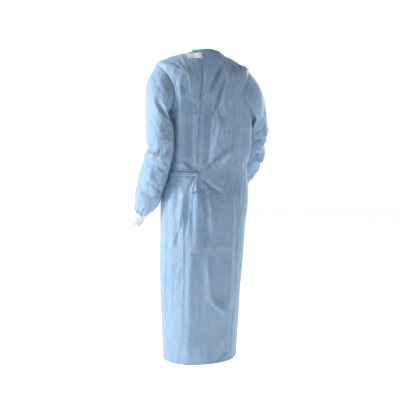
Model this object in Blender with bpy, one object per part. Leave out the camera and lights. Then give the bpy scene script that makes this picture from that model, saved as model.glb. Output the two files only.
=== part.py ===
"""Surgical gown of light blue nonwoven cloth, hollow, in the shape it has when it is worn.

Metres, +Z up. +X is the gown's left, +Y its back. The origin is the middle of the neck
opening, level with the back of the neck edge, where the shoulders hold the gown up.

Every panel is a wall between an outer and an inner grid of points. The body's points come
from one surface, given by an angle round the body and a way down from the neck, and both
back panels read it, so that the outer one lies on the one beneath it, fold for fold.
"""

from collections import namedtuple
from math import pi, radians

import bpy
import numpy as np

# Cloth and seams
LENGTH = 1.308
CLOTH = 0.0016
SEAM_GAP = 0.0003

# The body's cross sections, from the neck edge down to the hem. "down" is the way down the
# centre back; left, right, back and front are the half sizes there; the rises are how much
# higher the section lies at its sides and its front than at the back; power is 2 for an
# ellipse and more for a squarer section; shift moves the section to the left.
Section = namedtuple(
    "Section", "down left right back front left_rise right_rise front_rise power shift"
)
SECTIONS = (
    Section(0.000, 0.094, 0.094, 0.072, 0.086, -0.016, -0.022, -0.075, 2.0, 0.000),
    Section(0.035, 0.126, 0.124, 0.088, 0.100, 0.012, 0.006, -0.065, 2.1, 0.000),
    Section(0.085, 0.164, 0.162, 0.103, 0.112, 0.047, 0.034, -0.050, 2.4, 0.000),
    Section(0.145, 0.197, 0.200, 0.113, 0.122, 0.081, 0.071, -0.028, 2.8, 0.000),
    Section(0.195, 0.192, 0.200, 0.119, 0.128, 0.050, 0.045, -0.012, 3.0, 0.000),
    Section(0.255, 0.164, 0.192, 0.123, 0.132, 0.006, 0.006, 0.000, 3.0, 0.000),
    Section(0.310, 0.146, 0.189, 0.125, 0.133, 0.000, 0.000, 0.000, 3.0, 0.000),
    Section(0.410, 0.143, 0.192, 0.124, 0.130, 0.000, 0.000, 0.000, 2.8, 0.000),
    Section(0.505, 0.152, 0.199, 0.119, 0.127, 0.000, 0.000, 0.000, 2.4, 0.000),
    Section(0.620, 0.177, 0.204, 0.134, 0.136, 0.000, 0.000, 0.000, 2.2, 0.000),
    Section(0.750, 0.177, 0.191, 0.144, 0.143, 0.000, 0.000, 0.000, 2.1, 0.002),
    Section(0.870, 0.180, 0.186, 0.148, 0.147, 0.000, 0.000, 0.000, 2.0, 0.004),
    Section(1.030, 0.175, 0.176, 0.150, 0.149, 0.000, 0.000, 0.000, 2.0, 0.008),
    Section(1.160, 0.168, 0.170, 0.149, 0.149, 0.000, 0.000, 0.000, 2.0, 0.010),
    Section(LENGTH, 0.160, 0.161, 0.148, 0.147, -0.006, 0.002, 0.000, 2.0, 0.012),
)

# Armholes, on the body's surface: the shoulder tip and the underarm are so far down, and
# the edge bows so many degrees into the back and into the front.
TIP_DOWN = 0.145
UNDERARM_DOWN = 0.255
ARMHOLE_BACK_BOW = 28.0
ARMHOLE_FRONT_BOW = 34.0
ARMHOLE_STEPS = 14
ARMHOLE_EASE = 0.6

# Side seams, as angles round the body from its left towards its back
SeamPoint = namedtuple("SeamPoint", "down left_angle right_angle")
SIDE_SEAMS = (
    SeamPoint(0.255, 12.0, 166.0),
    SeamPoint(0.410, 12.0, 160.0),
    SeamPoint(0.550, 13.0, 153.0),
    SeamPoint(0.700, 14.0, 142.0),
    SeamPoint(0.860, 14.0, 134.0),
    SeamPoint(1.030, 12.0, 136.0),
    SeamPoint(1.160, 10.0, 129.0),
    SeamPoint(LENGTH, 7.0, 130.0),
)

# Free edges of the two back panels: how far left of the centre back each one runs
EdgePoint = namedtuple("EdgePoint", "down outer_edge under_edge")
FREE_EDGES = (
    EdgePoint(0.000, 0.043, -0.040),
    EdgePoint(0.036, 0.044, -0.045),
    EdgePoint(0.080, 0.036, -0.050),
    EdgePoint(0.117, 0.035, -0.052),
    EdgePoint(0.183, 0.047, -0.055),
    EdgePoint(0.332, 0.059, -0.060),
    EdgePoint(0.500, 0.068, -0.060),
    EdgePoint(0.620, 0.087, -0.062),
    EdgePoint(0.750, 0.103, -0.066),
    EdgePoint(0.870, 0.114, -0.070),
    EdgePoint(1.030, 0.118, -0.072),
    EdgePoint(LENGTH, 0.114, -0.074),
)

# Folds of the body, as straight soft ridges and troughs: each runs from one angle and way
# down to another, is so wide to each side of its middle, and rises so much or sinks.
FOLD_GIRTH = 0.150
BodyFold = namedtuple("BodyFold", "from_angle from_down to_angle to_down half_width rise")
BODY_FOLDS = (
    # The left back, beside the sleeve and above the belt
    BodyFold(38.0, 0.210, 34.0, 0.460, 0.032, 0.016),
    BodyFold(49.0, 0.220, 47.5, 0.455, 0.021, -0.008),
    BodyFold(40.0, 0.452, 54.0, 0.484, 0.016, -0.006),
    # The outer back panel, above the belt
    BodyFold(118.0, 0.070, 88.0, 0.155, 0.022, -0.008),
    BodyFold(119.0, 0.130, 98.0, 0.236, 0.020, -0.007),
    BodyFold(82.0, 0.205, 80.0, 0.455, 0.027, -0.010),
    BodyFold(107.0, 0.300, 88.0, 0.455, 0.022, 0.008),
    BodyFold(109.0, 0.455, 122.0, 0.420, 0.026, 0.010),
    BodyFold(159.0, 0.240, 161.0, 0.440, 0.040, 0.020),
    # Drawn out from the knot
    BodyFold(78.0, 0.485, 104.0, 0.432, 0.016, -0.007),
    BodyFold(76.0, 0.542, 105.0, 0.588, 0.016, -0.007),
    BodyFold(70.0, 0.565, 80.0, 0.680, 0.016, -0.005),
    # Below the belt
    BodyFold(81.0, 0.610, 89.0, 0.750, 0.021, 0.006),
    BodyFold(60.0, 0.560, 60.0, 0.820, 0.019, 0.004),
    BodyFold(42.0, 0.600, 24.0, 0.830, 0.023, 0.006),
    BodyFold(30.0, 0.560, 33.0, 0.800, 0.017, -0.005),
    BodyFold(81.0, 0.870, 88.0, 1.035, 0.023, 0.005),
    BodyFold(88.0, 1.035, 120.0, 1.105, 0.021, 0.005),
    BodyFold(100.0, 0.830, 112.0, 1.250, 0.028, -0.004),
    # The front and the sides
    BodyFold(-60.0, 0.300, -64.0, 0.950, 0.036, 0.007),
    BodyFold(-94.0, 0.420, -90.0, 1.120, 0.031, -0.006),
    BodyFold(-126.0, 0.340, -121.0, 1.220, 0.036, 0.007),
    BodyFold(-150.0, 0.560, -143.0, 1.150, 0.029, -0.006),
    BodyFold(-12.0, 0.520, -48.0, 0.680, 0.025, -0.005),
    BodyFold(-38.0, 0.720, -30.0, 1.240, 0.030, 0.006),
    BodyFold(-166.0, 0.500, -136.0, 0.640, 0.025, -0.005),
    BodyFold(-42.0, 0.210, -74.0, 0.330, 0.023, -0.005),
    BodyFold(-138.0, 0.210, -106.0, 0.345, 0.023, -0.005),
)

# The outer back panel lies this far outside the one beneath it
LIFT_AT_NECK = 0.0050
LIFT_BELOW = 0.0024
LIFT_NECK_END = 0.014
LIFT_FALL = 0.050
LIFT_RUN_OUT = 0.040

# Rows of points down the panels, apart from those beside the armholes
YOKE_ROWS = (0.0, 0.012, 0.035, 0.065, 0.105)
LOWER_ROWS = (
    0.290, 0.330, 0.375, 0.420, 0.452, 0.478, 0.501, 0.526, 0.550, 0.580,
    0.625, 0.690, 0.765, 0.850, 0.940, 1.030, 1.120, 1.210, LENGTH,
)
# Columns of points round the body: the back panels share those where they overlap
FRONT_COLUMNS = 25
LEFT_BACK_COLUMNS = 9
OVERLAP_COLUMNS = 9
RIGHT_BACK_COLUMNS = 8


def smooth_curve(at, knots, values):
    """Cubic through the values at the knots; the slope at each knot follows its neighbours."""
    at, knots, values = (np.asarray(a, float) for a in (at, knots, values))
    slopes = np.gradient(values, knots)
    i = np.clip(np.searchsorted(knots, at) - 1, 0, len(knots) - 2)
    span = knots[i + 1] - knots[i]
    u = (at - knots[i]) / span
    start = (1 + 2 * u) * (1 - u) ** 2 * values[i] + u * (1 - u) ** 2 * span * slopes[i]
    end = u**2 * (3 - 2 * u) * values[i + 1] + u**2 * (u - 1) * span * slopes[i + 1]
    return start + end


def read(table, column, at):
    """The smooth curve through one column of a table, read at ways down the body."""
    knots = [row.down for row in table]
    return smooth_curve(at, knots, [getattr(row, column) for row in table])


def ease(x):
    """0 below 0, 1 above 1, and a smooth step between."""
    x = np.clip(x, 0.0, 1.0)
    return x * x * (3 - 2 * x)


def unit(v):
    return v / np.linalg.norm(v, axis=-1, keepdims=True)


def body_base(angle, down):
    """The body without folds: a squared ellipse at each way down, higher at its sides."""
    cos, sin = np.cos(angle), np.sin(angle)
    wide = np.where(cos > 0, read(SECTIONS, "left", down), read(SECTIONS, "right", down))
    deep = np.where(sin > 0, read(SECTIONS, "back", down), read(SECTIONS, "front", down))
    power = read(SECTIONS, "power", down)
    radius = ((abs(cos) / wide) ** power + (abs(sin) / deep) ** power) ** (-1 / power)
    side = np.where(
        cos > 0, read(SECTIONS, "left_rise", down), read(SECTIONS, "right_rise", down)
    )
    front = np.where(sin < 0, read(SECTIONS, "front_rise", down), 0.0)
    return np.stack(
        [
            read(SECTIONS, "shift", down) + radius * cos,
            radius * sin,
            -down + side * cos**2 + front * sin**2,
        ],
        axis=-1,
    )


def outward(surface, angle, down):
    """Unit normal of a surface of angle and way down, pointing out of the body."""
    step = 1e-4
    round_body = surface(angle + step, down) - surface(angle - step, down)
    down_body = surface(angle, down + step) - surface(angle, down - step)
    return unit(np.cross(down_body, round_body))


def soft_fold(x, y, start, end, half_width):
    """1 along the line from start to end, falling smoothly to 0 a half width from it."""
    run = np.subtract(end, start)
    share = np.clip(((x - start[0]) * run[0] + (y - start[1]) * run[1]) / (run @ run), 0, 1)
    away = np.hypot(x - start[0] - share * run[0], y - start[1] - share * run[1])
    return (1 - np.clip(away / half_width, 0, 1) ** 2) ** 2


def body_rise(angle, down):
    """All the body's folds added up, with angles counted as ways round the girth."""
    turned = np.mod(angle + pi, 2 * pi) - pi
    rise = np.zeros(np.shape(angle))
    for fold in BODY_FOLDS:
        start = (radians(fold.from_angle) * FOLD_GIRTH, fold.from_down)
        end = (radians(fold.to_angle) * FOLD_GIRTH, fold.to_down)
        here = soft_fold(turned * FOLD_GIRTH, down, start, end, fold.half_width)
        rise = rise + fold.rise * here
    return rise


def body(angle, down):
    """The body's outer surface with its folds, which rise and sink along its normal."""
    angle, down = np.broadcast_arrays(np.asarray(angle, float), np.asarray(down, float))
    rise = body_rise(angle, down)[..., None]
    return body_base(angle, down) + rise * outward(body_base, angle, down)


def angle_of(x, down):
    """The angle on the back at which the body is x left of the centre back."""
    angle = np.full(np.shape(down), pi / 2)
    for _ in range(12):
        reach = np.linalg.norm(body_base(angle, down)[..., :2], axis=-1)
        angle = np.arccos(np.clip(x / reach, -1, 1))
    return angle


def lift(angle, down):
    """How far the outer back panel lies out: full over the panel beneath, then run out."""
    fall = ease((down - LIFT_NECK_END) / LIFT_FALL)
    full = LIFT_AT_NECK + (LIFT_BELOW - LIFT_AT_NECK) * fall
    past_edge = read(FREE_EDGES, "under_edge", down) - body_base(angle, down)[..., 0]
    return full * (1 - ease((past_edge - 0.004) / LIFT_RUN_OUT))


def halves(a, b, c, d):
    """The two triangles on each side of the diagonal from a to c of quads a, b, c, d."""
    return np.concatenate([np.stack([a, b, c], axis=-1), np.stack([a, c, d], axis=-1)])


# A quad is split from its other corner only where that diagonal is this much shorter
DIAGONAL_BIAS = 1.2


def skin_triangles(index, guide):
    """Triangles over a grid, each quad split along a diagonal that suits the guide."""
    a, b, c, d = (
        part.ravel()
        for part in (index[:-1, :-1], index[1:, :-1], index[1:, 1:], index[:-1, 1:])
    )
    at = guide.reshape(-1, 3)
    length_ac = np.linalg.norm(at[c] - at[a], axis=-1)
    length_bd = np.linalg.norm(at[d] - at[b], axis=-1)
    from_a = length_ac <= DIAGONAL_BIAS * length_bd
    from_b = ~from_a
    first = halves(a[from_a], b[from_a], c[from_a], d[from_a])
    second = halves(b[from_b], c[from_b], d[from_b], a[from_b])
    return np.concatenate([first, second])


def wall(name, outer, inner, closed=False, guide=None):
    """A closed wall between two grids of points, with its rims; closed joins row ends."""
    rows, columns = outer.shape[:2]
    count = rows * columns
    index = np.arange(count).reshape(rows, columns)
    if closed:
        index = np.concatenate([index, index[:, :1]], axis=1)
    skin = skin_triangles(index, outer if guide is None else guide)
    faces = [skin, skin[:, ::-1] + count]
    rims = [index[0], index[-1][::-1]]
    if not closed:
        rims += [index[:, 0][::-1], index[:, -1]]
    for rim in rims:
        faces.append(halves(rim[:-1], rim[1:], rim[1:] + count, rim[:-1] + count))
    points = np.concatenate([outer.reshape(-1, 3), inner.reshape(-1, 3)])
    mesh = bpy.data.meshes.new(name)
    mesh.from_pydata(points.tolist(), [], np.concatenate(faces).tolist())
    mesh.shade_smooth()
    mesh.set_sharp_from_angle(angle=radians(50))
    piece = bpy.data.objects.new(name, mesh)
    bpy.context.scene.collection.objects.link(piece)
    return piece


def body_wall(name, angle, down, offset=0.0):
    """A wall of cloth on the body's surface, its outer side moved out by the offset."""
    normal = outward(body, angle, down)
    surface = body(angle, down)
    outer = surface + np.asarray(offset)[..., None] * normal
    return wall(name, outer, outer - CLOTH * normal, guide=surface)


def armhole_edge(side, part, way):
    """Angle and way down of an armhole's edge; way 0 is the shoulder tip, 1 the underarm."""
    share = way - ARMHOLE_EASE * np.sin(2 * pi * way) / (2 * pi)
    down = TIP_DOWN + (UNDERARM_DOWN - TIP_DOWN) * share
    top = 0.0 if side == "left" else 180.0
    towards_back = 1.0 if side == "left" else -1.0
    underarm = getattr(SIDE_SEAMS[0], side + "_angle")
    bow = ARMHOLE_BACK_BOW if part == "back" else -ARMHOLE_FRONT_BOW
    degrees = top + (underarm - top) * way**2 + towards_back * bow * np.sin(pi * way)
    return np.radians(degrees), down


def side_edge(side, part):
    """Angles of a panel's side edge at every row: shoulder, armhole, then side seam."""
    way = np.linspace(0, 1, ARMHOLE_STEPS + 1)
    top = 0.0 if side == "left" else pi
    shoulder = np.full(len(YOKE_ROWS), top)
    armhole, _ = armhole_edge(side, part, way)
    seam = np.radians(read(SIDE_SEAMS, side + "_angle", np.asarray(LOWER_ROWS)))
    return np.concatenate([shoulder, armhole, seam])


def panel_rows():
    """Ways down of every row of a panel."""
    way = np.linspace(0, 1, ARMHOLE_STEPS + 1)
    _, beside_armhole = armhole_edge("left", "back", way)
    return np.concatenate([YOKE_ROWS, beside_armhole, LOWER_ROWS])


def seam_step(down):
    """Half the gap at a seam, as an angle."""
    reach = np.minimum(read(SECTIONS, "left", down), read(SECTIONS, "right", down))
    return SEAM_GAP / 2 / reach


def across(first, last, columns):
    """Columns of angles evenly spread between two edges."""
    share = np.linspace(0, 1, columns)
    return first[:, None] + (last - first)[:, None] * share


def free_edge_angles(down):
    """Angles of the outer panel's free edge and of the edge beneath it."""
    outer_edge = angle_of(read(FREE_EDGES, "outer_edge", down), down)
    under_edge = angle_of(read(FREE_EDGES, "under_edge", down), down)
    return outer_edge, under_edge


def front_angles(down):
    step = seam_step(down)
    right = side_edge("right", "front") - 2 * pi + step
    left = side_edge("left", "front") - step
    return across(right, left, FRONT_COLUMNS)


def back_left_angles(down):
    side = side_edge("left", "back") + seam_step(down)
    outer_edge, under_edge = free_edge_angles(down)
    seen = across(side, outer_edge, LEFT_BACK_COLUMNS)
    hidden = across(outer_edge, under_edge, OVERLAP_COLUMNS)
    return np.concatenate([seen, hidden[:, 1:]], axis=1)


def back_right_angles(down):
    side = side_edge("right", "back") - seam_step(down)
    outer_edge, under_edge = free_edge_angles(down)
    doubled = across(outer_edge, under_edge, OVERLAP_COLUMNS)
    single = across(under_edge, side, RIGHT_BACK_COLUMNS)
    return np.concatenate([doubled, single[:, 1:]], axis=1)


def body_panels():
    """The three panels; the outer one, and the front's end beside it, are lifted out."""
    down = panel_rows()
    angle = front_angles(down)
    ways = np.broadcast_to(down[:, None], angle.shape)
    on_outer_side = np.where(angle < -pi, lift(angle, ways), 0.0)
    front = body_wall("front", angle, ways, on_outer_side)
    angle = back_left_angles(down)
    ways = np.broadcast_to(down[:, None], angle.shape)
    under = body_wall("back_left", angle, ways)
    angle = back_right_angles(down)
    ways = np.broadcast_to(down[:, None], angle.shape)
    outer = body_wall("back_right", angle, ways, lift(angle, ways))
    return front, under, outer


# Sleeves: the middle of each section, with its half sizes outwards and backwards. The
# first row is the middle of the armhole, whose edge the sleeve starts from.
SleeveSection = namedtuple("SleeveSection", "x y z outwards backwards")
SLEEVE_LEFT = (
    SleeveSection(0.168, 0.012, -0.160, 0.080, 0.085),
    SleeveSection(0.204, 0.034, -0.212, 0.066, 0.072),
    SleeveSection(0.206, 0.048, -0.275, 0.058, 0.066),
    SleeveSection(0.203, 0.055, -0.345, 0.057, 0.064),
    SleeveSection(0.203, 0.055, -0.410, 0.054, 0.064),
    SleeveSection(0.213, 0.030, -0.480, 0.057, 0.061),
    SleeveSection(0.224, -0.003, -0.550, 0.058, 0.059),
    SleeveSection(0.233, -0.040, -0.625, 0.052, 0.055),
    SleeveSection(0.249, -0.078, -0.678, 0.028, 0.030),
)
SLEEVE_RIGHT = (
    SleeveSection(-0.172, -0.004, -0.165, 0.080, 0.085),
    SleeveSection(-0.232, -0.016, -0.225, 0.069, 0.072),
    SleeveSection(-0.254, -0.034, -0.290, 0.061, 0.066),
    SleeveSection(-0.260, -0.050, -0.350, 0.059, 0.064),
    SleeveSection(-0.262, -0.066, -0.410, 0.059, 0.063),
    SleeveSection(-0.254, -0.106, -0.475, 0.058, 0.060),
    SleeveSection(-0.238, -0.153, -0.538, 0.055, 0.057),
    SleeveSection(-0.222, -0.200, -0.594, 0.049, 0.052),
    SleeveSection(-0.214, -0.242, -0.634, 0.028, 0.030),
)
# Folds of the sleeves, from one turn round the tube and row of its table to another
SLEEVE_GIRTH = 0.056
SLEEVE_ROW = 0.070
SleeveFold = namedtuple("SleeveFold", "from_turn from_row to_turn to_row half_width rise")
SLEEVE_LEFT_FOLDS = (
    SleeveFold(20.0, 0.60, 62.0, 1.50, 0.022, -0.008),
    SleeveFold(62.0, 1.50, 125.0, 1.95, 0.022, -0.008),
    SleeveFold(30.0, 1.50, 80.0, 2.20, 0.024, 0.006),
    SleeveFold(-30.0, 3.95, 112.0, 3.80, 0.022, -0.009),
    SleeveFold(20.0, 4.35, 95.0, 4.30, 0.022, 0.006),
    SleeveFold(30.0, 4.75, 105.0, 4.90, 0.021, -0.007),
    SleeveFold(60.0, 5.40, 120.0, 6.60, 0.025, 0.007),
    SleeveFold(-15.0, 5.80, 60.0, 6.30, 0.024, -0.006),
    SleeveFold(180.0, 4.40, 235.0, 4.00, 0.023, -0.007),
    SleeveFold(290.0, 1.40, 240.0, 2.30, 0.023, -0.007),
    SleeveFold(290.0, 3.20, 250.0, 4.30, 0.024, 0.007),
)
SLEEVE_RIGHT_FOLDS = (
    SleeveFold(10.0, 0.80, 60.0, 1.80, 0.022, -0.008),
    SleeveFold(-20.0, 2.30, 50.0, 2.80, 0.023, 0.006),
    SleeveFold(-30.0, 3.60, 60.0, 3.90, 0.021, -0.007),
    SleeveFold(-10.0, 4.30, 80.0, 4.40, 0.022, 0.006),
    SleeveFold(180.0, 4.10, 240.0, 3.90, 0.022, -0.007),
    SleeveFold(300.0, 1.30, 240.0, 2.40, 0.023, -0.007),
    SleeveFold(40.0, 5.30, 110.0, 6.50, 0.025, 0.007),
    SleeveFold(280.0, 5.20, 330.0, 6.30, 0.023, -0.006),
)
GATHERS = 11
GATHER_RISE = 0.003
GATHER_ROWS = 1.3
SLEEVE_RINGS = 21
SLEEVE_BLEND = 3.0


def sleeve_table(side):
    return SLEEVE_LEFT if side == "left" else SLEEVE_RIGHT


def sleeve_rise(side, turn, at):
    """The sleeve's folds added up, and the gathers that the cuff draws together."""
    last = len(sleeve_table(side)) - 1
    rise = GATHER_RISE * ease(1 - (last - at) / GATHER_ROWS) * np.cos(GATHERS * turn)
    for fold in SLEEVE_LEFT_FOLDS if side == "left" else SLEEVE_RIGHT_FOLDS:
        middle = radians(fold.from_turn + fold.to_turn) / 2
        turned = middle + np.mod(turn - middle + pi, 2 * pi) - pi
        start = (radians(fold.from_turn) * SLEEVE_GIRTH, fold.from_row * SLEEVE_ROW)
        end = (radians(fold.to_turn) * SLEEVE_GIRTH, fold.to_row * SLEEVE_ROW)
        x, y = turned * SLEEVE_GIRTH, at * SLEEVE_ROW
        rise = rise + fold.rise * soft_fold(x, y, start, end, fold.half_width)
    return rise


def sleeve_reader(side):
    """A function that reads a column of the sleeve's table, rows counted from 0."""
    table = sleeve_table(side)
    knots = np.arange(len(table))
    return lambda column, at: smooth_curve(at, knots, [getattr(r, column) for r in table])


def sleeve_middle(side, at):
    look = sleeve_reader(side)
    return np.stack([look("x", at), look("y", at), look("z", at)], axis=-1)


def sleeve_axes(side, at):
    """Along, outwards and backwards directions of the sleeve at a place on its path."""
    step = 1e-3
    along = unit(sleeve_middle(side, at + step) - sleeve_middle(side, at - step))
    back = np.array([0.0, 1.0, 0.0])
    back = unit(back - (along @ back)[..., None] * along)
    out = np.cross(along, back) * (1 if side == "left" else -1)
    return along, out, back


def sleeve_base(side, turn, at):
    """The sleeve's tube: turn 0 is its outer side, a quarter turn its back."""
    look = sleeve_reader(side)
    _, out, back = sleeve_axes(side, at)
    rise = sleeve_rise(side, turn, at)
    shape = ((look("outwards", at) + rise) * np.cos(turn))[..., None] * out
    shape = shape + ((look("backwards", at) + rise) * np.sin(turn))[..., None] * back
    loop, _, _ = armhole_loop(side, turn)
    loop = loop - sleeve_middle(side, 0.0)
    blend = ease(at / SLEEVE_BLEND)[..., None]
    return sleeve_middle(side, at) + (1 - blend) * loop + blend * shape


def armhole_loop(side, turn):
    """Points, normals and ways into the hole of the armhole's edge."""
    def edge(at_turn):
        at_turn = np.mod(at_turn, 2 * pi)
        way = np.where(at_turn <= pi, at_turn, 2 * pi - at_turn) / pi
        back_angle, down = armhole_edge(side, "back", way)
        front_angle, _ = armhole_edge(side, "front", way)
        return np.where(at_turn <= pi, back_angle, front_angle), down

    angle, down = edge(turn)
    here = body(angle, down)
    normal = outward(body, angle, down)
    step = 2e-3
    run = body(*edge(turn + step)) - body(*edge(turn - step))
    inwards = unit(np.cross(normal, run))
    inwards = inwards * (-1 if side == "left" else 1)
    return here, normal, inwards


def sleeve(side):
    turn = np.linspace(0, 2 * pi, 2 * ARMHOLE_STEPS, endpoint=False)
    here, normal, inwards = armhole_loop(side, turn)
    rings = np.linspace(0, len(sleeve_table(side)) - 1, SLEEVE_RINGS)[1:]
    turns, at = np.meshgrid(turn, rings)
    tube = sleeve_base(side, turns, at)
    step = 1e-3
    round_tube = sleeve_base(side, turns + step, at) - sleeve_base(side, turns - step, at)
    along_tube = sleeve_base(side, turns, at + step) - sleeve_base(side, turns, at - step)
    facing = unit(np.cross(along_tube, round_tube)) * (1 if side == "left" else -1)
    seam = here + SEAM_GAP * inwards
    outer = np.concatenate([seam[None], tube])
    inner = np.concatenate([(seam - CLOTH * normal)[None], tube - CLOTH * facing])
    if side == "right":
        outer, inner = outer[:, ::-1], inner[:, ::-1]
    return wall("sleeve_" + side, outer, inner, closed=True)


# Cuffs: knitted tubes, whose ribs are raised in the outer wall
CUFF_LENGTH = 0.062
CUFF_RADII = (0.0285, 0.0262, 0.0270)
CUFF_RIBS = 28
CUFF_RIB = 0.0006
CUFF_WALL = 0.0018


def cuff(side):
    """A straight tube on from the sleeve's end, drawn in at its middle."""
    last = len(sleeve_table(side)) - 1.0
    along, out, back = sleeve_axes(side, last - 0.01)
    start = sleeve_middle(side, last) + SEAM_GAP * along
    turn = np.linspace(0, 2 * pi, 2 * CUFF_RIBS, endpoint=False)
    share = np.linspace(0, 1, len(CUFF_RADII))[:, None]
    middle = start + CUFF_LENGTH * share[..., None] * along
    round_cuff = np.cos(turn)[:, None] * out + np.sin(turn)[:, None] * back
    rib = CUFF_RIB * np.where(np.arange(len(turn)) % 2, -1, 1)
    radius = np.asarray(CUFF_RADII)[:, None]
    outer = middle + (radius + rib)[..., None] * round_cuff
    inner = middle + np.broadcast_to(radius - CUFF_WALL, outer.shape[:2])[..., None] * round_cuff
    if side == "right":
        outer, inner = outer[:, ::-1], inner[:, ::-1]
    return wall("cuff_" + side, outer, inner, closed=True)


# Binding: a folded strip over the whole neck edge, with a free tail at the outer panel
BINDING = 0.0010
BINDING_DEPTH = 0.0075
BINDING_GAP = 0.0008
TAIL_STEPS = 3
TAIL_ANGLE = 16.0
TAIL_RISE = 0.006


def neck_binding():
    """A U section over the neck edge, once round and on over the panel beneath."""
    down = panel_rows()
    under, front = back_left_angles(down)[0], front_angles(down)[0]
    outer = back_right_angles(down)[0] - 2 * pi
    angle = np.concatenate([under[::-1], front[-2:0:-1], outer[::-1]])
    last = angle[-1]
    tail = last - radians(TAIL_ANGLE) * np.linspace(0, 1, TAIL_STEPS + 1)[1:]
    angle = np.concatenate([angle, tail])
    top = np.zeros(len(angle))
    low = np.full(len(angle), BINDING_DEPTH)
    up = -unit(body(angle, top + 1e-3) - body(angle, top))
    raised = TAIL_RISE * ease((last - angle) / radians(TAIL_ANGLE))

    def corner(down, out, above):
        level = top if down == 0 else low
        move = out + np.where(angle < -pi, lift(angle, level), 0.0)
        place = body(angle, level) + move[:, None] * outward(body, angle, level)
        return place + (above + raised)[:, None] * up

    near, far = BINDING_GAP, BINDING_GAP + BINDING
    section = [
        corner(1, far, 0.0), corner(0, far, 0.0), corner(0, far - BINDING, far),
        corner(0, -CLOTH, far), corner(0, -CLOTH - far, 0.0), corner(1, -CLOTH - far, 0.0),
        corner(1, -CLOTH - near, 0.0), corner(0, -CLOTH - near, near),
        corner(0, near, near), corner(1, near, 0.0),
    ]
    return swept("neck_binding", np.stack(section, axis=1))


def swept(name, rings):
    """A closed solid through rings of points, with both ends filled."""
    count, around = rings.shape[:2]
    index = np.arange(count * around).reshape(count, around)
    following = np.roll(index, -1, axis=1)
    sides = np.stack(
        [index[:-1], following[:-1], following[1:], index[1:]], axis=-1
    ).reshape(-1, 4)
    faces = sides.tolist() + [index[0][::-1].tolist(), index[-1].tolist()]
    mesh = bpy.data.meshes.new(name)
    mesh.from_pydata(rings.reshape(-1, 3).tolist(), [], faces)
    piece = bpy.data.objects.new(name, mesh)
    bpy.context.scene.collection.objects.link(piece)
    return piece


def on_back(x, height):
    """Angle and way down of the point of the back at a place x and a height."""
    x, height = np.broadcast_arrays(np.asarray(x, float), np.asarray(height, float))
    down = -height
    for _ in range(8):
        angle = angle_of(x, down)
        down = down + body_base(angle, down)[..., 2] - height
    return angle, down


def on_panel(name, x, height, offset, thickness):
    """A flat piece lying on the back: a grid of places, moved out, with its thickness."""
    angle, down = on_back(x, height)
    place, normal = body(angle, down), outward(body, angle, down)
    inner = place + np.asarray(offset)[..., None] * normal
    return wall(name, inner + thickness * normal, inner)


def grid(left, right, top, bottom, columns, rows):
    """Places x and heights over a rectangle on the back, from the left and the top."""
    return np.meshgrid(np.linspace(left, right, columns), np.linspace(top, bottom, rows))


# Neck tab: a hook and loop strip on the outer panel's corner, laid over the panel beneath
TAB_LEFT = 0.088
TAB_RIGHT = 0.030
TAB_TOP = -0.0165
TAB_BOTTOM = -0.0385
TAB_THICKNESS = 0.0014
TAB_OUT = 0.0008
TAB_STEP_START = 0.016
TAB_STEP_RUN = 0.013


def neck_tab():
    x, height = grid(TAB_LEFT, TAB_RIGHT, TAB_TOP, TAB_BOTTOM, 15, 5)
    angle, down = on_back(x, height)
    edge = read(FREE_EDGES, "outer_edge", down)
    over = ease((edge + TAB_STEP_START - x) / TAB_STEP_RUN)
    offset = TAB_OUT + lift(angle, down) * over
    return on_panel("neck_tab", x, height, offset, TAB_THICKNESS)


# Belt: a folded band from the left side seam to the knot
BELT_TOP = -0.502
BELT_BOTTOM = -0.524
BELT_THICKNESS = 0.0018
BELT_ROWS = 3
BELT_OUT = 0.0006
BELT_END = 0.0765
BELT_END_RISE = 0.0024
BELT_END_RUN = 0.020
KNOT_X = 0.0685
KNOT_HEIGHT = -0.512


def belt():
    """A band in the left back panel's own columns, so that it lies on its facets."""
    down = np.linspace(-BELT_TOP, -BELT_BOTTOM, BELT_ROWS)
    seam = np.radians(read(SIDE_SEAMS, "left_angle", down))
    outer_edge, _ = free_edge_angles(down)
    angle = across(seam, outer_edge, LEFT_BACK_COLUMNS)[:, :-1]
    end = angle_of(np.full(BELT_ROWS, BELT_END), down)
    angle = np.concatenate([angle, end[:, None]], axis=1)
    ways = np.broadcast_to(down[:, None], angle.shape)
    x = body_base(angle, ways)[..., 0]
    offset = BELT_OUT + BELT_END_RISE * ease((BELT_END + BELT_END_RUN - x) / BELT_END_RUN)
    normal = outward(body, angle, ways)
    inner = body(angle, ways) + offset[..., None] * normal
    return wall("belt", inner + BELT_THICKNESS * normal, inner)


# Tie patch: the end of the tie stitched to the outer panel at its edge
PATCH_LEFT = 0.0665
PATCH_RIGHT = 0.0510
PATCH_TOP = -0.5035
PATCH_BOTTOM = -0.5205
PATCH_THICKNESS = 0.0014
PATCH_OUT = 0.0006


def tie_patch():
    x, height = grid(PATCH_LEFT, PATCH_RIGHT, PATCH_TOP, PATCH_BOTTOM, 5, 4)
    offset = PATCH_OUT + lift(*on_back(x, height))
    return on_panel("tie_patch", x, height, offset, PATCH_THICKNESS)


# Knot: the belt tied to the tie, a lobed lump over the ends of both
KNOT_WIDE = 0.0095
KNOT_TALL = 0.0100
KNOT_DEEP = 0.0050
KNOT_OUT = 0.0048
KNOT_LOBE = 0.13
KNOT_TURNS = 16
KNOT_RINGS = 9


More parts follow.
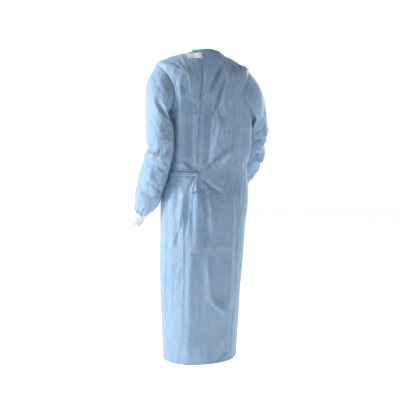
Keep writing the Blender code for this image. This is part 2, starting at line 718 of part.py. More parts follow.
def belt_knot():
    """A ball between two poles, flattened on the body, with three lobes round it."""
    tilt = np.linspace(0, pi, KNOT_RINGS)[1:-1]
    turn = np.linspace(0, 2 * pi, KNOT_TURNS, endpoint=False)
    turns, tilts = np.meshgrid(turn, tilt)
    lobe = 1 + KNOT_LOBE * np.sin(tilts) * np.cos(3 * turns + 0.6)
    x = np.concatenate([[0.0], (lobe * np.sin(tilts) * np.cos(turns)).ravel(), [0.0]])
    z = np.concatenate([[0.0], (lobe * np.sin(tilts) * np.sin(turns)).ravel(), [0.0]])
    deep = np.concatenate([[1.0], np.cos(tilts).ravel(), [-1.0]])
    angle, down = on_back(KNOT_X + KNOT_WIDE * x, KNOT_HEIGHT + KNOT_TALL * z)
    offset = KNOT_OUT + KNOT_DEEP * (1 + deep)
    points = body(angle, down) + offset[:, None] * outward(body, angle, down)
    ring = np.arange(len(tilt) * KNOT_TURNS).reshape(len(tilt), KNOT_TURNS) + 1
    following = np.roll(ring, -1, axis=1)
    faces = np.stack([ring[:-1], following[:-1], following[1:], ring[1:]], axis=-1)
    faces = faces.reshape(-1, 4).tolist()
    last = len(points) - 1
    faces += [[0, b, a] for a, b in zip(ring[0].tolist(), following[0].tolist())]
    faces += [[last, a, b] for a, b in zip(ring[-1].tolist(), following[-1].tolist())]
    mesh = bpy.data.meshes.new("belt_knot")
    mesh.from_pydata(points.tolist(), [], faces)
    mesh.shade_smooth()
    piece = bpy.data.objects.new("belt_knot", mesh)
    bpy.context.scene.collection.objects.link(piece)
    return piece


# Belt tail: the end hanging from the knot, spreading to a slanted cut
BELT_TAIL_THICKNESS = 0.0016
TailRow = namedtuple("TailRow", "left right height out")
BELT_TAIL = (
    TailRow(0.0735, 0.0640, -0.5222, 0.0085),
    TailRow(0.0790, 0.0640, -0.5330, 0.0062),
    TailRow(0.0870, 0.0650, -0.5450, 0.0050),
    TailRow(0.0950, 0.0670, -0.5570, 0.0052),
    TailRow(0.1010, 0.0690, -0.5680, 0.0060),
    TailRow(0.1000, 0.0695, -0.5790, 0.0070),
)
TAIL_COLUMNS = 7
TAIL_PLEAT = 0.0012
TAIL_POINT = 0.012


def belt_tail():
    """Rows of the table, with two shallow pleats and the lower edge cut to a point."""
    share = np.linspace(0, 1, TAIL_COLUMNS)
    left, right, height, out = (np.array(c)[:, None] for c in zip(*BELT_TAIL))
    way = np.linspace(0, 1, len(BELT_TAIL))[:, None]
    x = left + (right - left) * share
    point = TAIL_POINT * (1 - abs(share - 0.25) / 0.75)
    height = height - point * way**2
    offset = out + TAIL_PLEAT * way * np.cos(4 * pi * share)
    return on_panel("belt_tail", x, height, offset, BELT_TAIL_THICKNESS)


# Finishes
BLUE = (0.34, 0.53, 0.78)
KNIT_WHITE = (0.86, 0.87, 0.88)
TEAL = (0.10, 0.55, 0.52)
TAPE_WHITE = (0.80, 0.81, 0.82)
CLOTH_ROUGHNESS = 0.55
KNIT_ROUGHNESS = 0.85


def finish(piece, colour, roughness):
    material = bpy.data.materials.new(piece.name)
    material.use_nodes = True
    shader = material.node_tree.nodes["Principled BSDF"]
    shader.inputs["Base Color"].default_value = (*colour, 1.0)
    shader.inputs["Roughness"].default_value = roughness
    shader.inputs["Metallic"].default_value = 0.0
    piece.data.materials.append(material)


def build():
    for old in list(bpy.data.objects):
        bpy.data.objects.remove(old, do_unlink=True)
    cloth = [*body_panels(), belt(), tie_patch(), belt_knot(), belt_tail()]
    for side in ("left", "right"):
        cloth.append(sleeve(side))
        finish(cuff(side), KNIT_WHITE, KNIT_ROUGHNESS)
    for piece in cloth:
        finish(piece, BLUE, CLOTH_ROUGHNESS)
    finish(neck_binding(), TEAL, CLOTH_ROUGHNESS)
    finish(neck_tab(), TAPE_WHITE, KNIT_ROUGHNESS)


build()
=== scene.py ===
"""Looks of a surgical gown of light blue nonwoven, worn shape, hollow, seen from behind.

Metres, +Z up, +X the gown's left, +Y its back, origin in the neck opening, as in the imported
frame. The file follows the gown as it is sewn: front, backs, sleeves, cuffs, neck edge, tab,
belt and ties, then the studio. Each cloth piece is a thin closed shell worked out on a grid.
"""

from collections import namedtuple
from math import pi, radians

import bpy
import numpy as np
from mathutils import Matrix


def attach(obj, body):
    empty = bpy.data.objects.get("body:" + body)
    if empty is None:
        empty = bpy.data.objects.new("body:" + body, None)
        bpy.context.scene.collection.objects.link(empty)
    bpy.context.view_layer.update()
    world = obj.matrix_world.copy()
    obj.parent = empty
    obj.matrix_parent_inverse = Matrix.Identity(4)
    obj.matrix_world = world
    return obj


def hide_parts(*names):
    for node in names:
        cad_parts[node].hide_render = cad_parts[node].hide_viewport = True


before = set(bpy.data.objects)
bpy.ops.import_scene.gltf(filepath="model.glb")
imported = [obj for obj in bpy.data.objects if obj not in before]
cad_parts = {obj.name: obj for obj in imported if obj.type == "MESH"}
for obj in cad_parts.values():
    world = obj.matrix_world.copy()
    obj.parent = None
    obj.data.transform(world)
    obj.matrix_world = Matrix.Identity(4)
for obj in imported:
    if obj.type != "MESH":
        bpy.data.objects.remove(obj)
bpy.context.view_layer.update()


# Front panel: one wide piece of spunbond nonwoven from side seam to side seam, cut out at
# both armholes and at the neck, and joined to the backs over the shoulders and down the
# sides. It is a wall between two grids of points on the body's surface, folds and all.
LENGTH = 1.308
SHELL = 0.0007
SEAM_GAP = 0.0003

# Half sizes of the body at ways down the centre back, how much higher each section lies at
# its sides and its front than at the back, how square it is, and its shift to the left
Section = namedtuple(
    "Section", "down left right back front left_rise right_rise front_rise power shift"
)
SECTIONS = (
    Section(0.000, 0.094, 0.094, 0.072, 0.086, -0.016, -0.022, -0.075, 2.0, 0.000),
    Section(0.035, 0.126, 0.124, 0.088, 0.100, 0.012, 0.006, -0.065, 2.1, 0.000),
    Section(0.085, 0.164, 0.162, 0.103, 0.112, 0.047, 0.034, -0.050, 2.4, 0.000),
    Section(0.145, 0.197, 0.200, 0.113, 0.122, 0.081, 0.071, -0.028, 2.8, 0.000),
    Section(0.195, 0.192, 0.200, 0.119, 0.128, 0.050, 0.045, -0.012, 3.0, 0.000),
    Section(0.255, 0.164, 0.192, 0.123, 0.132, 0.006, 0.006, 0.000, 3.0, 0.000),
    Section(0.310, 0.146, 0.189, 0.125, 0.133, 0.000, 0.000, 0.000, 3.0, 0.000),
    Section(0.410, 0.143, 0.192, 0.124, 0.130, 0.000, 0.000, 0.000, 2.8, 0.000),
    Section(0.505, 0.152, 0.199, 0.119, 0.127, 0.000, 0.000, 0.000, 2.4, 0.000),
    Section(0.620, 0.177, 0.204, 0.134, 0.136, 0.000, 0.000, 0.000, 2.2, 0.000),
    Section(0.750, 0.177, 0.191, 0.144, 0.143, 0.000, 0.000, 0.000, 2.1, 0.002),
    Section(0.870, 0.180, 0.186, 0.148, 0.147, 0.000, 0.000, 0.000, 2.0, 0.004),
    Section(1.030, 0.175, 0.176, 0.150, 0.149, 0.000, 0.000, 0.000, 2.0, 0.008),
    Section(1.160, 0.168, 0.170, 0.149, 0.149, 0.000, 0.000, 0.000, 2.0, 0.010),
    Section(LENGTH, 0.160, 0.161, 0.148, 0.147, -0.006, 0.002, 0.000, 2.0, 0.012),
)
# Armholes: how far down the shoulder tip and the underarm are, and how many degrees the
# edge bows into the back and the front
TIP_DOWN = 0.145
UNDERARM_DOWN = 0.255
ARMHOLE_BACK_BOW = 28.0
ARMHOLE_FRONT_BOW = 34.0
ARMHOLE_STEPS = 60
ARMHOLE_EASE = 0.6
# Side seams, as angles round the body from its left towards its back
SeamPoint = namedtuple("SeamPoint", "down left_angle right_angle")
SIDE_SEAMS = (
    SeamPoint(0.255, 12.0, 166.0),
    SeamPoint(0.410, 12.0, 160.0),
    SeamPoint(0.550, 13.0, 153.0),
    SeamPoint(0.700, 14.0, 142.0),
    SeamPoint(0.860, 14.0, 134.0),
    SeamPoint(1.030, 12.0, 136.0),
    SeamPoint(1.160, 10.0, 129.0),
    SeamPoint(LENGTH, 7.0, 130.0),
)
# Free edges of the two back panels: how far left of the centre back each one runs
EdgePoint = namedtuple("EdgePoint", "down outer_edge under_edge")
FREE_EDGES = (
    EdgePoint(0.000, 0.043, -0.040),
    EdgePoint(0.036, 0.044, -0.045),
    EdgePoint(0.080, 0.036, -0.050),
    EdgePoint(0.117, 0.035, -0.052),
    EdgePoint(0.183, 0.047, -0.055),
    EdgePoint(0.332, 0.059, -0.060),
    EdgePoint(0.500, 0.068, -0.060),
    EdgePoint(0.620, 0.087, -0.062),
    EdgePoint(0.750, 0.103, -0.066),
    EdgePoint(0.870, 0.114, -0.070),
    EdgePoint(1.030, 0.118, -0.072),
    EdgePoint(LENGTH, 0.114, -0.074),
)
# Large folds, as straight soft ridges and troughs between two places on the body, each
# given by an angle and a way down
FOLD_GIRTH = 0.150
BodyFold = namedtuple("BodyFold", "from_angle from_down to_angle to_down half_width rise")
BODY_FOLDS = (
    BodyFold(38.0, 0.210, 34.0, 0.460, 0.032, 0.016),
    BodyFold(49.0, 0.220, 47.5, 0.455, 0.021, -0.008),
    BodyFold(40.0, 0.452, 54.0, 0.484, 0.016, -0.006),
    BodyFold(118.0, 0.070, 88.0, 0.155, 0.022, -0.008),
    BodyFold(119.0, 0.130, 98.0, 0.236, 0.020, -0.007),
    BodyFold(82.0, 0.205, 80.0, 0.455, 0.027, -0.010),
    BodyFold(107.0, 0.300, 88.0, 0.455, 0.022, 0.008),
    BodyFold(109.0, 0.455, 122.0, 0.420, 0.026, 0.010),
    BodyFold(159.0, 0.240, 161.0, 0.440, 0.040, 0.020),
    BodyFold(78.0, 0.485, 104.0, 0.432, 0.016, -0.007),
    BodyFold(76.0, 0.542, 105.0, 0.588, 0.016, -0.007),
    BodyFold(70.0, 0.565, 80.0, 0.680, 0.016, -0.005),
    BodyFold(81.0, 0.610, 89.0, 0.750, 0.021, 0.006),
    BodyFold(60.0, 0.560, 60.0, 0.820, 0.019, 0.004),
    BodyFold(42.0, 0.600, 24.0, 0.830, 0.023, 0.006),
    BodyFold(30.0, 0.560, 33.0, 0.800, 0.017, -0.005),
    BodyFold(81.0, 0.870, 88.0, 1.035, 0.023, 0.005),
    BodyFold(88.0, 1.035, 120.0, 1.105, 0.021, 0.005),
    BodyFold(100.0, 0.830, 112.0, 1.250, 0.028, -0.004),
    BodyFold(-60.0, 0.300, -64.0, 0.950, 0.036, 0.007),
    BodyFold(-94.0, 0.420, -90.0, 1.120, 0.031, -0.006),
    BodyFold(-126.0, 0.340, -121.0, 1.220, 0.036, 0.007),
    BodyFold(-150.0, 0.560, -143.0, 1.150, 0.029, -0.006),
    BodyFold(-12.0, 0.520, -48.0, 0.680, 0.025, -0.005),
    BodyFold(-38.0, 0.720, -30.0, 1.240, 0.030, 0.006),
    BodyFold(-166.0, 0.500, -136.0, 0.640, 0.025, -0.005),
    BodyFold(-42.0, 0.210, -74.0, 0.330, 0.023, -0.005),
    BodyFold(-138.0, 0.210, -106.0, 0.345, 0.023, -0.005),
)
# Creases laid over the folds: each bows aside at its middle, leans to one side, which
# makes a trough with a ridge beside it, and fades out at both ends
Crease = namedtuple("Crease", "a0 d0 a1 d1 bow width rise lean")
BACK_CREASES = (
    # Left back: the standing fold beside the arm, its valley, and the line beside the edge
    Crease(38.0, 0.150, 33.5, 0.485, 0.002, 0.0090, 0.0045, 0.2),
    Crease(43.5, 0.240, 40.0, 0.468, 0.000, 0.0085, -0.0030, 0.5),
    Crease(49.0, 0.190, 47.0, 0.475, 0.002, 0.0150, -0.0060, 0.2),
    Crease(19.8, 0.026, 47.8, 0.130, 0.006, 0.0035, 0.0016, 0.6),
    Crease(46.0, 0.110, 55.2, 0.300, 0.004, 0.0035, 0.0020, 0.6),
    Crease(55.0, 0.270, 58.5, 0.492, 0.001, 0.0035, 0.0022, 0.6),
    Crease(40.4, 0.462, 53.0, 0.490, 0.002, 0.0045, -0.0036, -0.7),
    Crease(54.0, 0.440, 58.5, 0.496, 0.000, 0.0035, -0.0020, 0.4),
    Crease(20.0, 0.098, 40.0, 0.142, 0.005, 0.0050, -0.0030, 0.7),
    Crease(33.0, 0.136, 49.0, 0.131, 0.003, 0.0045, 0.0024, -0.6),
    Crease(28.0, 0.070, 40.0, 0.112, 0.004, 0.0060, -0.0020, 0.4),
    Crease(30.0, 0.165, 36.0, 0.235, 0.004, 0.0050, -0.0026, 0.6),
    Crease(22.0, 0.205, 27.0, 0.300, 0.005, 0.0060, -0.0030, -0.5),
    Crease(24.0, 0.300, 22.0, 0.410, 0.003, 0.0060, 0.0022, 0.5),
    Crease(44.0, 0.180, 46.0, 0.260, 0.003, 0.0060, -0.0018, 0.3),
    Crease(57.0, 0.120, 60.0, 0.175, 0.002, 0.0040, 0.0012, 0.5),
    Crease(60.5, 0.200, 58.5, 0.262, 0.002, 0.0035, -0.0010, 0.5),
    Crease(57.5, 0.310, 61.0, 0.360, 0.002, 0.0035, 0.0010, 0.5),
    # Outer panel above the belt: diagonals from the shoulder, the centre valley, its ridge
    Crease(121.0, 0.040, 80.0, 0.200, -0.006, 0.0085, -0.0056, 0.6),
    Crease(93.0, 0.132, 74.0, 0.205, 0.000, 0.0030, 0.0014, 0.4),
    Crease(121.0, 0.095, 90.0, 0.290, -0.006, 0.0080, -0.0050, 0.6),
    Crease(111.0, 0.096, 101.0, 0.180, -0.003, 0.0060, 0.0022, 0.3),
    Crease(126.0, 0.095, 121.0, 0.190, 0.002, 0.0060, 0.0016, 0.4),
    Crease(89.0, 0.190, 85.0, 0.330, 0.004, 0.0080, -0.0030, 0.4),
    Crease(83.0, 0.150, 75.0, 0.480, 0.004, 0.0170, -0.0064, -0.3),
    Crease(92.0, 0.260, 88.0, 0.420, 0.004, 0.0060, 0.0016, 0.5),
    Crease(106.0, 0.270, 84.0, 0.475, 0.005, 0.0110, 0.0046, 0.4),
    Crease(106.8, 0.425, 108.6, 0.474, 0.001, 0.0035, -0.0032, -0.7),
    Crease(114.0, 0.470, 124.0, 0.430, -0.004, 0.0060, -0.0022, 0.4),
    Crease(138.0, 0.240, 137.0, 0.430, 0.004, 0.0065, 0.0024, 0.4),
    Crease(143.5, 0.200, 142.0, 0.420, -0.004, 0.0060, -0.0022, 0.5),
    Crease(149.0, 0.260, 147.0, 0.470, 0.003, 0.0060, 0.0022, 0.4),
    Crease(155.0, 0.230, 152.5, 0.400, -0.003, 0.0060, -0.0024, -0.5),
    Crease(157.0, 0.068, 149.5, 0.124, 0.004, 0.0045, 0.0030, 0.5),
    Crease(153.0, 0.074, 146.0, 0.126, 0.003, 0.0045, -0.0026, 0.5),
    Crease(148.5, 0.108, 154.5, 0.170, 0.004, 0.0045, 0.0028, -0.5),
    Crease(141.0, 0.060, 136.0, 0.110, 0.003, 0.0050, -0.0018, 0.5),
    # Drawn out from the knot
    Crease(65.5, 0.500, 80.0, 0.474, 0.003, 0.0040, -0.0034, 0.6),
    Crease(76.0, 0.480, 112.0, 0.400, -0.007, 0.0080, -0.0026, 0.6),
    Crease(70.0, 0.486, 84.0, 0.440, -0.004, 0.0045, 0.0020, 0.5),
    Crease(66.0, 0.529, 80.0, 0.556, 0.002, 0.0042, -0.0034, 0.6),
    Crease(74.0, 0.556, 112.0, 0.640, 0.006, 0.0120, -0.0030, 0.6),
    Crease(66.0, 0.534, 72.0, 0.600, -0.003, 0.0050, -0.0034, -0.5),
    Crease(71.0, 0.590, 80.8, 0.690, -0.003, 0.0060, -0.0026, -0.5),
    Crease(72.0, 0.540, 86.0, 0.606, 0.002, 0.0050, 0.0024, 0.4),
    Crease(76.0, 0.528, 96.0, 0.536, 0.004, 0.0050, 0.0014, 0.5),
    # Outer panel below the belt: soft streaks that hang from the waist
    Crease(62.0, 0.560, 63.5, 0.830, 0.002, 0.0050, 0.0026, 0.5),
    Crease(57.0, 0.590, 57.5, 0.850, -0.002, 0.0045, -0.0030, -0.5),
    Crease(83.0, 0.600, 90.0, 0.745, 0.003, 0.0050, 0.0026, 0.4),
    Crease(77.0, 0.700, 79.0, 0.830, -0.003, 0.0060, -0.0020, 0.4),
    Crease(93.0, 0.575, 96.0, 0.760, 0.003, 0.0070, -0.0020, 0.4),
    Crease(98.0, 0.640, 99.5, 0.770, 0.000, 0.0040, 0.0022, 0.5),
    Crease(106.0, 0.600, 108.0, 0.800, -0.003, 0.0080, -0.0016, 0.3),
    Crease(113.0, 0.560, 112.0, 0.700, 0.003, 0.0050, 0.0018, 0.5),
    Crease(127.5, 0.590, 126.0, 0.760, 0.003, 0.0050, 0.0018, -0.5),
    Crease(134.0, 0.600, 133.0, 0.730, -0.003, 0.0050, -0.0018, 0.5),
    Crease(141.0, 0.560, 138.0, 0.700, 0.003, 0.0050, 0.0018, 0.5),
    Crease(68.0, 0.880, 75.0, 1.010, -0.008, 0.0045, 0.0016, 0.4),
    Crease(81.0, 0.860, 84.5, 1.000, 0.003, 0.0042, 0.0024, -0.6),
    Crease(84.0, 0.985, 92.0, 1.062, 0.006, 0.0042, 0.0030, -0.7),
    Crease(91.0, 1.052, 112.0, 1.098, 0.003, 0.0042, 0.0030, -0.7),
    Crease(108.0, 1.086, 128.0, 1.140, -0.005, 0.0042, 0.0026, -0.7),
    Crease(94.0, 1.085, 100.0, 1.150, -0.003, 0.0035, 0.0016, 0.5),
    Crease(99.0, 1.100, 106.0, 1.178, -0.002, 0.0035, -0.0015, 0.5),
    Crease(105.0, 1.098, 108.5, 1.170, 0.002, 0.0032, 0.0015, 0.5),
    Crease(111.0, 1.110, 112.0, 1.176, 0.001, 0.0032, 0.0014, 0.5),
    Crease(116.5, 1.118, 115.5, 1.196, 0.002, 0.0032, -0.0013, 0.5),
    Crease(121.0, 1.128, 121.5, 1.200, 0.001, 0.0032, 0.0014, 0.5),
    Crease(85.5, 1.080, 86.0, 1.160, 0.002, 0.0040, -0.0014, 0.5),
    Crease(77.0, 1.090, 84.0, 1.240, -0.006, 0.0060, -0.0016, 0.5),
    Crease(92.0, 1.195, 97.0, 1.262, 0.003, 0.0050, 0.0014, 0.5),
    Crease(99.0, 1.302, 128.0, 1.262, 0.004, 0.0055, -0.0030, 0.7),
    Crease(107.0, 1.160, 103.0, 1.250, 0.004, 0.0050, 0.0014, 0.5),
    Crease(72.0, 1.180, 66.0, 1.290, 0.004, 0.0060, 0.0016, 0.4),
    # Broad falls beside the free edge below the belt, and the hollow over the hem
    Crease(60.0, 0.545, 63.0, 0.860, 0.002, 0.0120, 0.0045, 0.3),
    Crease(72.0, 0.560, 78.0, 0.820, 0.002, 0.0140, -0.0045, 0.2),
    Crease(104.0, 0.820, 112.0, 1.060, -0.006, 0.0180, -0.0045, 0.2),
    Crease(46.0, 0.560, 47.5, 0.740, 0.002, 0.0100, -0.0040, 0.3),
    # Finer drags over the shoulder blade and beside the side seam
    Crease(108.0, 0.165, 116.0, 0.300, 0.003, 0.0045, 0.0026, 0.6),
    Crease(124.0, 0.250, 118.0, 0.400, -0.003, 0.0045, -0.0026, 0.6),
    Crease(100.0, 0.210, 94.0, 0.400, 0.003, 0.0050, 0.0028, 0.5),
    Crease(72.0, 0.070, 68.0, 0.210, 0.003, 0.0060, -0.0028, 0.5),
    Crease(86.0, 0.060, 76.0, 0.150, -0.003, 0.0055, 0.0026, 0.5),
    Crease(132.0, 0.310, 140.0, 0.480, 0.003, 0.0050, 0.0028, -0.5),
    # The standing ridge along the outer panel's free edge, and the broad hollows beside it
    Crease(54.5, 0.700, 52.5, 1.345, 0.002, 0.0130, 0.0062, -0.3),
    Crease(66.0, 0.640, 72.0, 1.290, 0.006, 0.0190, -0.0050, 0.0),
    Crease(99.0, 0.700, 103.0, 1.080, -0.008, 0.0240, -0.0052, 0.0),
    Crease(90.0, 1.090, 106.0, 1.330, 0.006, 0.0200, -0.0040, 0.0),
    Crease(118.0, 0.150, 112.0, 0.420, 0.006, 0.0200, 0.0044, 0.3),
    Crease(130.0, 0.200, 127.0, 0.520, -0.006, 0.0160, -0.0040, 0.3),
    Crease(118.0, 0.620, 121.0, 1.100, 0.006, 0.0200, 0.0040, 0.3),
    # Left back below the belt
    Crease(30.6, 0.557, 32.9, 0.790, 0.002, 0.0040, -0.0020, 0.6),
    Crease(38.6, 0.556, 43.4, 1.035, 0.003, 0.0040, 0.0016, 0.6),
    Crease(41.0, 0.625, 22.5, 0.830, 0.008, 0.0045, 0.0026, 0.5),
    Crease(46.0, 0.700, 47.0, 0.960, -0.004, 0.0060, -0.0018, 0.4),
    Crease(22.0, 0.860, 20.0, 1.020, 0.003, 0.0050, 0.0020, -0.5),
    Crease(29.0, 0.950, 24.0, 1.170, 0.004, 0.0060, -0.0016, 0.4),
    Crease(34.0, 1.010, 26.0, 1.130, -0.006, 0.0045, 0.0014, 0.5),
    Crease(40.0, 1.080, 37.0, 1.250, 0.003, 0.0060, 0.0014, 0.4),
    Crease(51.0, 0.860, 50.0, 1.080, 0.002, 0.0050, 0.0018, 0.5),
)
FRONT_CREASES = (
    # Chest: drawn from the armholes, and hollows below the neck edge
    Crease(-20.0, 0.170, -50.0, 0.262, 0.008, 0.0060, -0.0032, 0.6),
    Crease(-24.0, 0.225, -58.0, 0.300, -0.006, 0.0055, 0.0024, 0.5),
    Crease(-40.0, 0.215, -72.0, 0.334, 0.006, 0.0065, -0.0028, 0.5),
    Crease(-158.0, 0.165, -128.0, 0.266, -0.008, 0.0060, -0.0030, -0.6),
    Crease(-154.0, 0.232, -120.0, 0.306, 0.006, 0.0055, 0.0024, 0.5),
    Crease(-139.0, 0.210, -108.0, 0.350, -0.005, 0.0065, -0.0028, 0.5),
    Crease(-76.0, 0.060, -84.0, 0.180, 0.006, 0.0070, -0.0024, 0.4),
    Crease(-104.0, 0.070, -98.0, 0.200, -0.006, 0.0070, 0.0022, 0.4),
    Crease(-52.0, 0.070, -60.0, 0.150, 0.004, 0.0060, 0.0020, 0.5),
    Crease(-127.0, 0.080, -122.0, 0.160, 0.003, 0.0060, -0.0022, 0.5),
    # Sides at the waist, where the belt takes the cloth in
    Crease(-2.0, 0.470, -34.0, 0.560, 0.006, 0.0055, -0.0030, 0.6),
    Crease(-4.0, 0.520, -40.0, 0.640, 0.006, 0.0060, 0.0026, 0.5),
    Crease(-8.0, 0.540, -46.0, 0.700, -0.006, 0.0065, -0.0028, 0.5),
    Crease(4.0, 0.500, -20.0, 0.480, 0.003, 0.0050, 0.0020, 0.5),
    Crease(-176.0, 0.470, -142.0, 0.560, -0.006, 0.0055, -0.0028, 0.6),
    Crease(-172.0, 0.540, -138.0, 0.660, 0.006, 0.0065, 0.0024, 0.5),
    Crease(-178.0, 0.330, -150.0, 0.430, 0.006, 0.0060, -0.0024, 0.5),
    Crease(-60.0, 0.430, -68.0, 0.640, 0.007, 0.0070, 0.0022, 0.5),
    Crease(-112.0, 0.410, -106.0, 0.620, -0.006, 0.0070, -0.0022, 0.5),
    # Skirt: long soft falls, some crossed by a shallow break
    Crease(-70.0, 0.600, -72.0, 0.980, 0.006, 0.0080, 0.0024, 0.4),
    Crease(-80.0, 0.720, -76.0, 1.160, -0.006, 0.0075, -0.0024, 0.4),
    Crease(-52.0, 0.700, -50.0, 1.140, 0.005, 0.0070, -0.0024, 0.5),
    Crease(-42.0, 0.820, -36.0, 1.240, -0.005, 0.0065, 0.0024, 0.5),
    Crease(-22.0, 0.760, -20.0, 1.120, 0.005, 0.0065, -0.0022, 0.5),
    Crease(-100.0, 0.660, -103.0, 1.060, 0.005, 0.0075, 0.0022, 0.5),
    Crease(-116.0, 0.760, -112.0, 1.200, -0.005, 0.0070, -0.0024, 0.5),
    Crease(-132.0, 0.700, -128.0, 1.100, 0.004, 0.0065, 0.0024, 0.5),
    Crease(-146.0, 0.860, -140.0, 1.240, -0.004, 0.0065, -0.0022, 0.5),
    Crease(-160.0, 0.720, -158.0, 1.000, 0.004, 0.0060, 0.0020, 0.5),
    Crease(-66.0, 1.060, -88.0, 1.120, 0.006, 0.0050, 0.0020, 0.7),
    Crease(-118.0, 1.010, -98.0, 1.075, -0.005, 0.0050, -0.0018, 0.7),
    Crease(-30.0, 1.040, -52.0, 1.090, 0.005, 0.0050, 0.0018, 0.7),
    Crease(-90.0, 1.190, -60.0, 1.240, 0.005, 0.0055, -0.0018, 0.6),
    Crease(178.0, 0.700, 168.0, 0.900, 0.003, 0.0060, 0.0018, 0.5),
    Crease(172.0, 0.880, 158.0, 1.080, 0.003, 0.0060, -0.0018, 0.5),
)
# Sharp lines left by the packet: some across the body, at ways down it, and some down it
PACKING_ACROSS = (0.410, 0.616, 0.817, 1.018, 1.220)
PACKING_WIDTH = 0.0022
PACKING_RISE = 0.0009
PACKING_DOWN = (
    Crease(134.5, 0.110, 128.8, 0.450, 0.000, 0.0026, 0.0028, 0.6),
    Crease(130.3, 0.370, 121.5, 0.870, 0.000, 0.0026, 0.0028, 0.6),
    Crease(122.9, 0.790, 117.0, 1.330, 0.000, 0.0026, 0.0022, 0.6),
    Crease(-58.0, 0.130, -57.0, 0.715, 0.000, 0.0026, 0.0022, 0.6),
    Crease(-57.0, 0.645, -59.0, 1.330, 0.000, 0.0026, 0.0020, 0.6),
    Crease(-90.0, 0.160, -91.0, 1.330, 0.000, 0.0026, 0.0020, 0.6),
    Crease(-122.0, 0.130, -123.0, 0.715, 0.000, 0.0026, 0.0022, 0.6),
    Crease(-123.0, 0.645, -120.0, 1.330, 0.000, 0.0026, 0.0020, 0.6),
)


def smooth_curve(at, knots, values):
    """Cubic through the values at the knots; each slope there follows its neighbours."""
    at, knots, values = (np.asarray(a, float) for a in (at, knots, values))
    slopes = np.gradient(values, knots)
    i = np.clip(np.searchsorted(knots, at) - 1, 0, len(knots) - 2)
    span = knots[i + 1] - knots[i]
    u = (at - knots[i]) / span
    start = (1 + 2 * u) * (1 - u) ** 2 * values[i] + u * (1 - u) ** 2 * span * slopes[i]
    end = u**2 * (3 - 2 * u) * values[i + 1] + u**2 * (u - 1) * span * slopes[i + 1]
    return start + end


def read(table, column, at):
    """The smooth curve through one column of a table, read at ways down the body."""
    knots = [row.down for row in table]
    return smooth_curve(at, knots, [getattr(row, column) for row in table])


def ease(x):
    """0 below 0, 1 above 1, and a smooth step between."""
    x = np.clip(x, 0.0, 1.0)
    return x * x * (3 - 2 * x)


def unit(v):
    return v / np.linalg.norm(v, axis=-1, keepdims=True)


def body_base(angle, down):
    """The body without folds: a squared ellipse at each way down, higher at its sides."""
    cos, sin = np.cos(angle), np.sin(angle)
    wide = np.where(cos > 0, read(SECTIONS, "left", down), read(SECTIONS, "right", down))
    deep = np.where(sin > 0, read(SECTIONS, "back", down), read(SECTIONS, "front", down))
    power = read(SECTIONS, "power", down)
    radius = ((abs(cos) / wide) ** power + (abs(sin) / deep) ** power) ** (-1 / power)
    left_rise, right_rise = (read(SECTIONS, s + "_rise", down) for s in ("left", "right"))
    side = np.where(cos > 0, left_rise, right_rise)
    front = np.where(sin < 0, read(SECTIONS, "front_rise", down), 0.0)
    x = read(SECTIONS, "shift", down) + radius * cos
    return np.stack([x, radius * sin, -down + side * cos**2 + front * sin**2], axis=-1)


def outward(surface, angle, down):
    """Unit normal of a surface of angle and way down, pointing out of the body."""
    step = 1e-4
    round_body = surface(angle + step, down) - surface(angle - step, down)
    down_body = surface(angle, down + step) - surface(angle, down - step)
    return unit(np.cross(down_body, round_body))


FOLD_END_FALL = 0.45


def soft_fold(x, y, start, end, half_width):
    """1 along the line from start to end, lower at its ends, and 0 a half width from it."""
    run = np.subtract(end, start)
    share = np.clip(((x - start[0]) * run[0] + (y - start[1]) * run[1]) / (run @ run), 0, 1)
    away = np.hypot(x - start[0] - share * run[0], y - start[1] - share * run[1])
    swell = 1 - FOLD_END_FALL * (2 * share - 1) ** 4
    return swell * (1 - np.clip(away / half_width, 0, 1) ** 2) ** 2


# A crease fades out over this length at each end, reaches this many widths to each side,
# and is a sharp bell and a broad one
CREASE_FADE = 0.07
CREASE_REACH = 5
SHARP_BELL = 0.65
BROAD_BELL = 0.45
BROAD_SPREAD = 6


def add_creases(rise, x, y, lines, girth, row=1.0):
    """Adds creases to a rise: each a sharp bell on a broad one across a bowed line, weighed
    to one side by its lean, narrow at its ends, worked out only for points that lie near."""
    x, y = np.broadcast_arrays(x, y)
    for c in lines:
        start = np.array([radians(c.a0) * girth, c.d0 * row])
        end = np.array([radians(c.a1) * girth, c.d1 * row])
        low = np.minimum(start, end) - CREASE_REACH * c.width - abs(c.bow)
        high = np.maximum(start, end) + CREASE_REACH * c.width + abs(c.bow)
        by = (x > low[0]) & (x < high[0]) & (y > low[1]) & (y < high[1])
        away, run = np.stack([x[by], y[by]], axis=-1) - start, end - start
        length = np.hypot(*run)
        share = away @ run / length**2
        near = np.clip(share, 0, 1)
        side = (away[:, 0] * run[1] - away[:, 1] * run[0]) / length
        fade = min(CREASE_FADE, length / 2)
        swell = np.sin(pi / 2 * np.clip(np.minimum(near, 1 - near) * length / fade, 0, 1))
        side = (side - 4 * c.bow * near * (1 - near)) / (c.width * (0.5 + 0.6 * swell))
        past = ((share - near) * length / c.width) ** 2
        bell = SHARP_BELL * np.exp(-(side**2))
        bell = bell + BROAD_BELL * np.exp(-(side**2) / BROAD_SPREAD)
        rise[by] += c.rise * swell**0.9 * bell * np.exp(-past) * (1 + c.lean * np.tanh(side))
    return rise


def waves(turn, along, count, lowest, highest, slant, seed):
    """Slight crumpling: waves of whole numbers round, at random slants, summed and ridged."""
    draw = np.random.default_rng(seed)
    total = np.zeros(np.shape(turn))
    for _ in range(count):
        rounds = int(draw.integers(lowest, highest))
        rate = rounds * slant * draw.uniform(-1, 1)
        total += np.cos(rounds * turn + rate * along + draw.uniform(0, 2 * pi))
    total *= np.sqrt(2 / count)
    return 0.8 - np.sqrt(total**2 + 0.04)


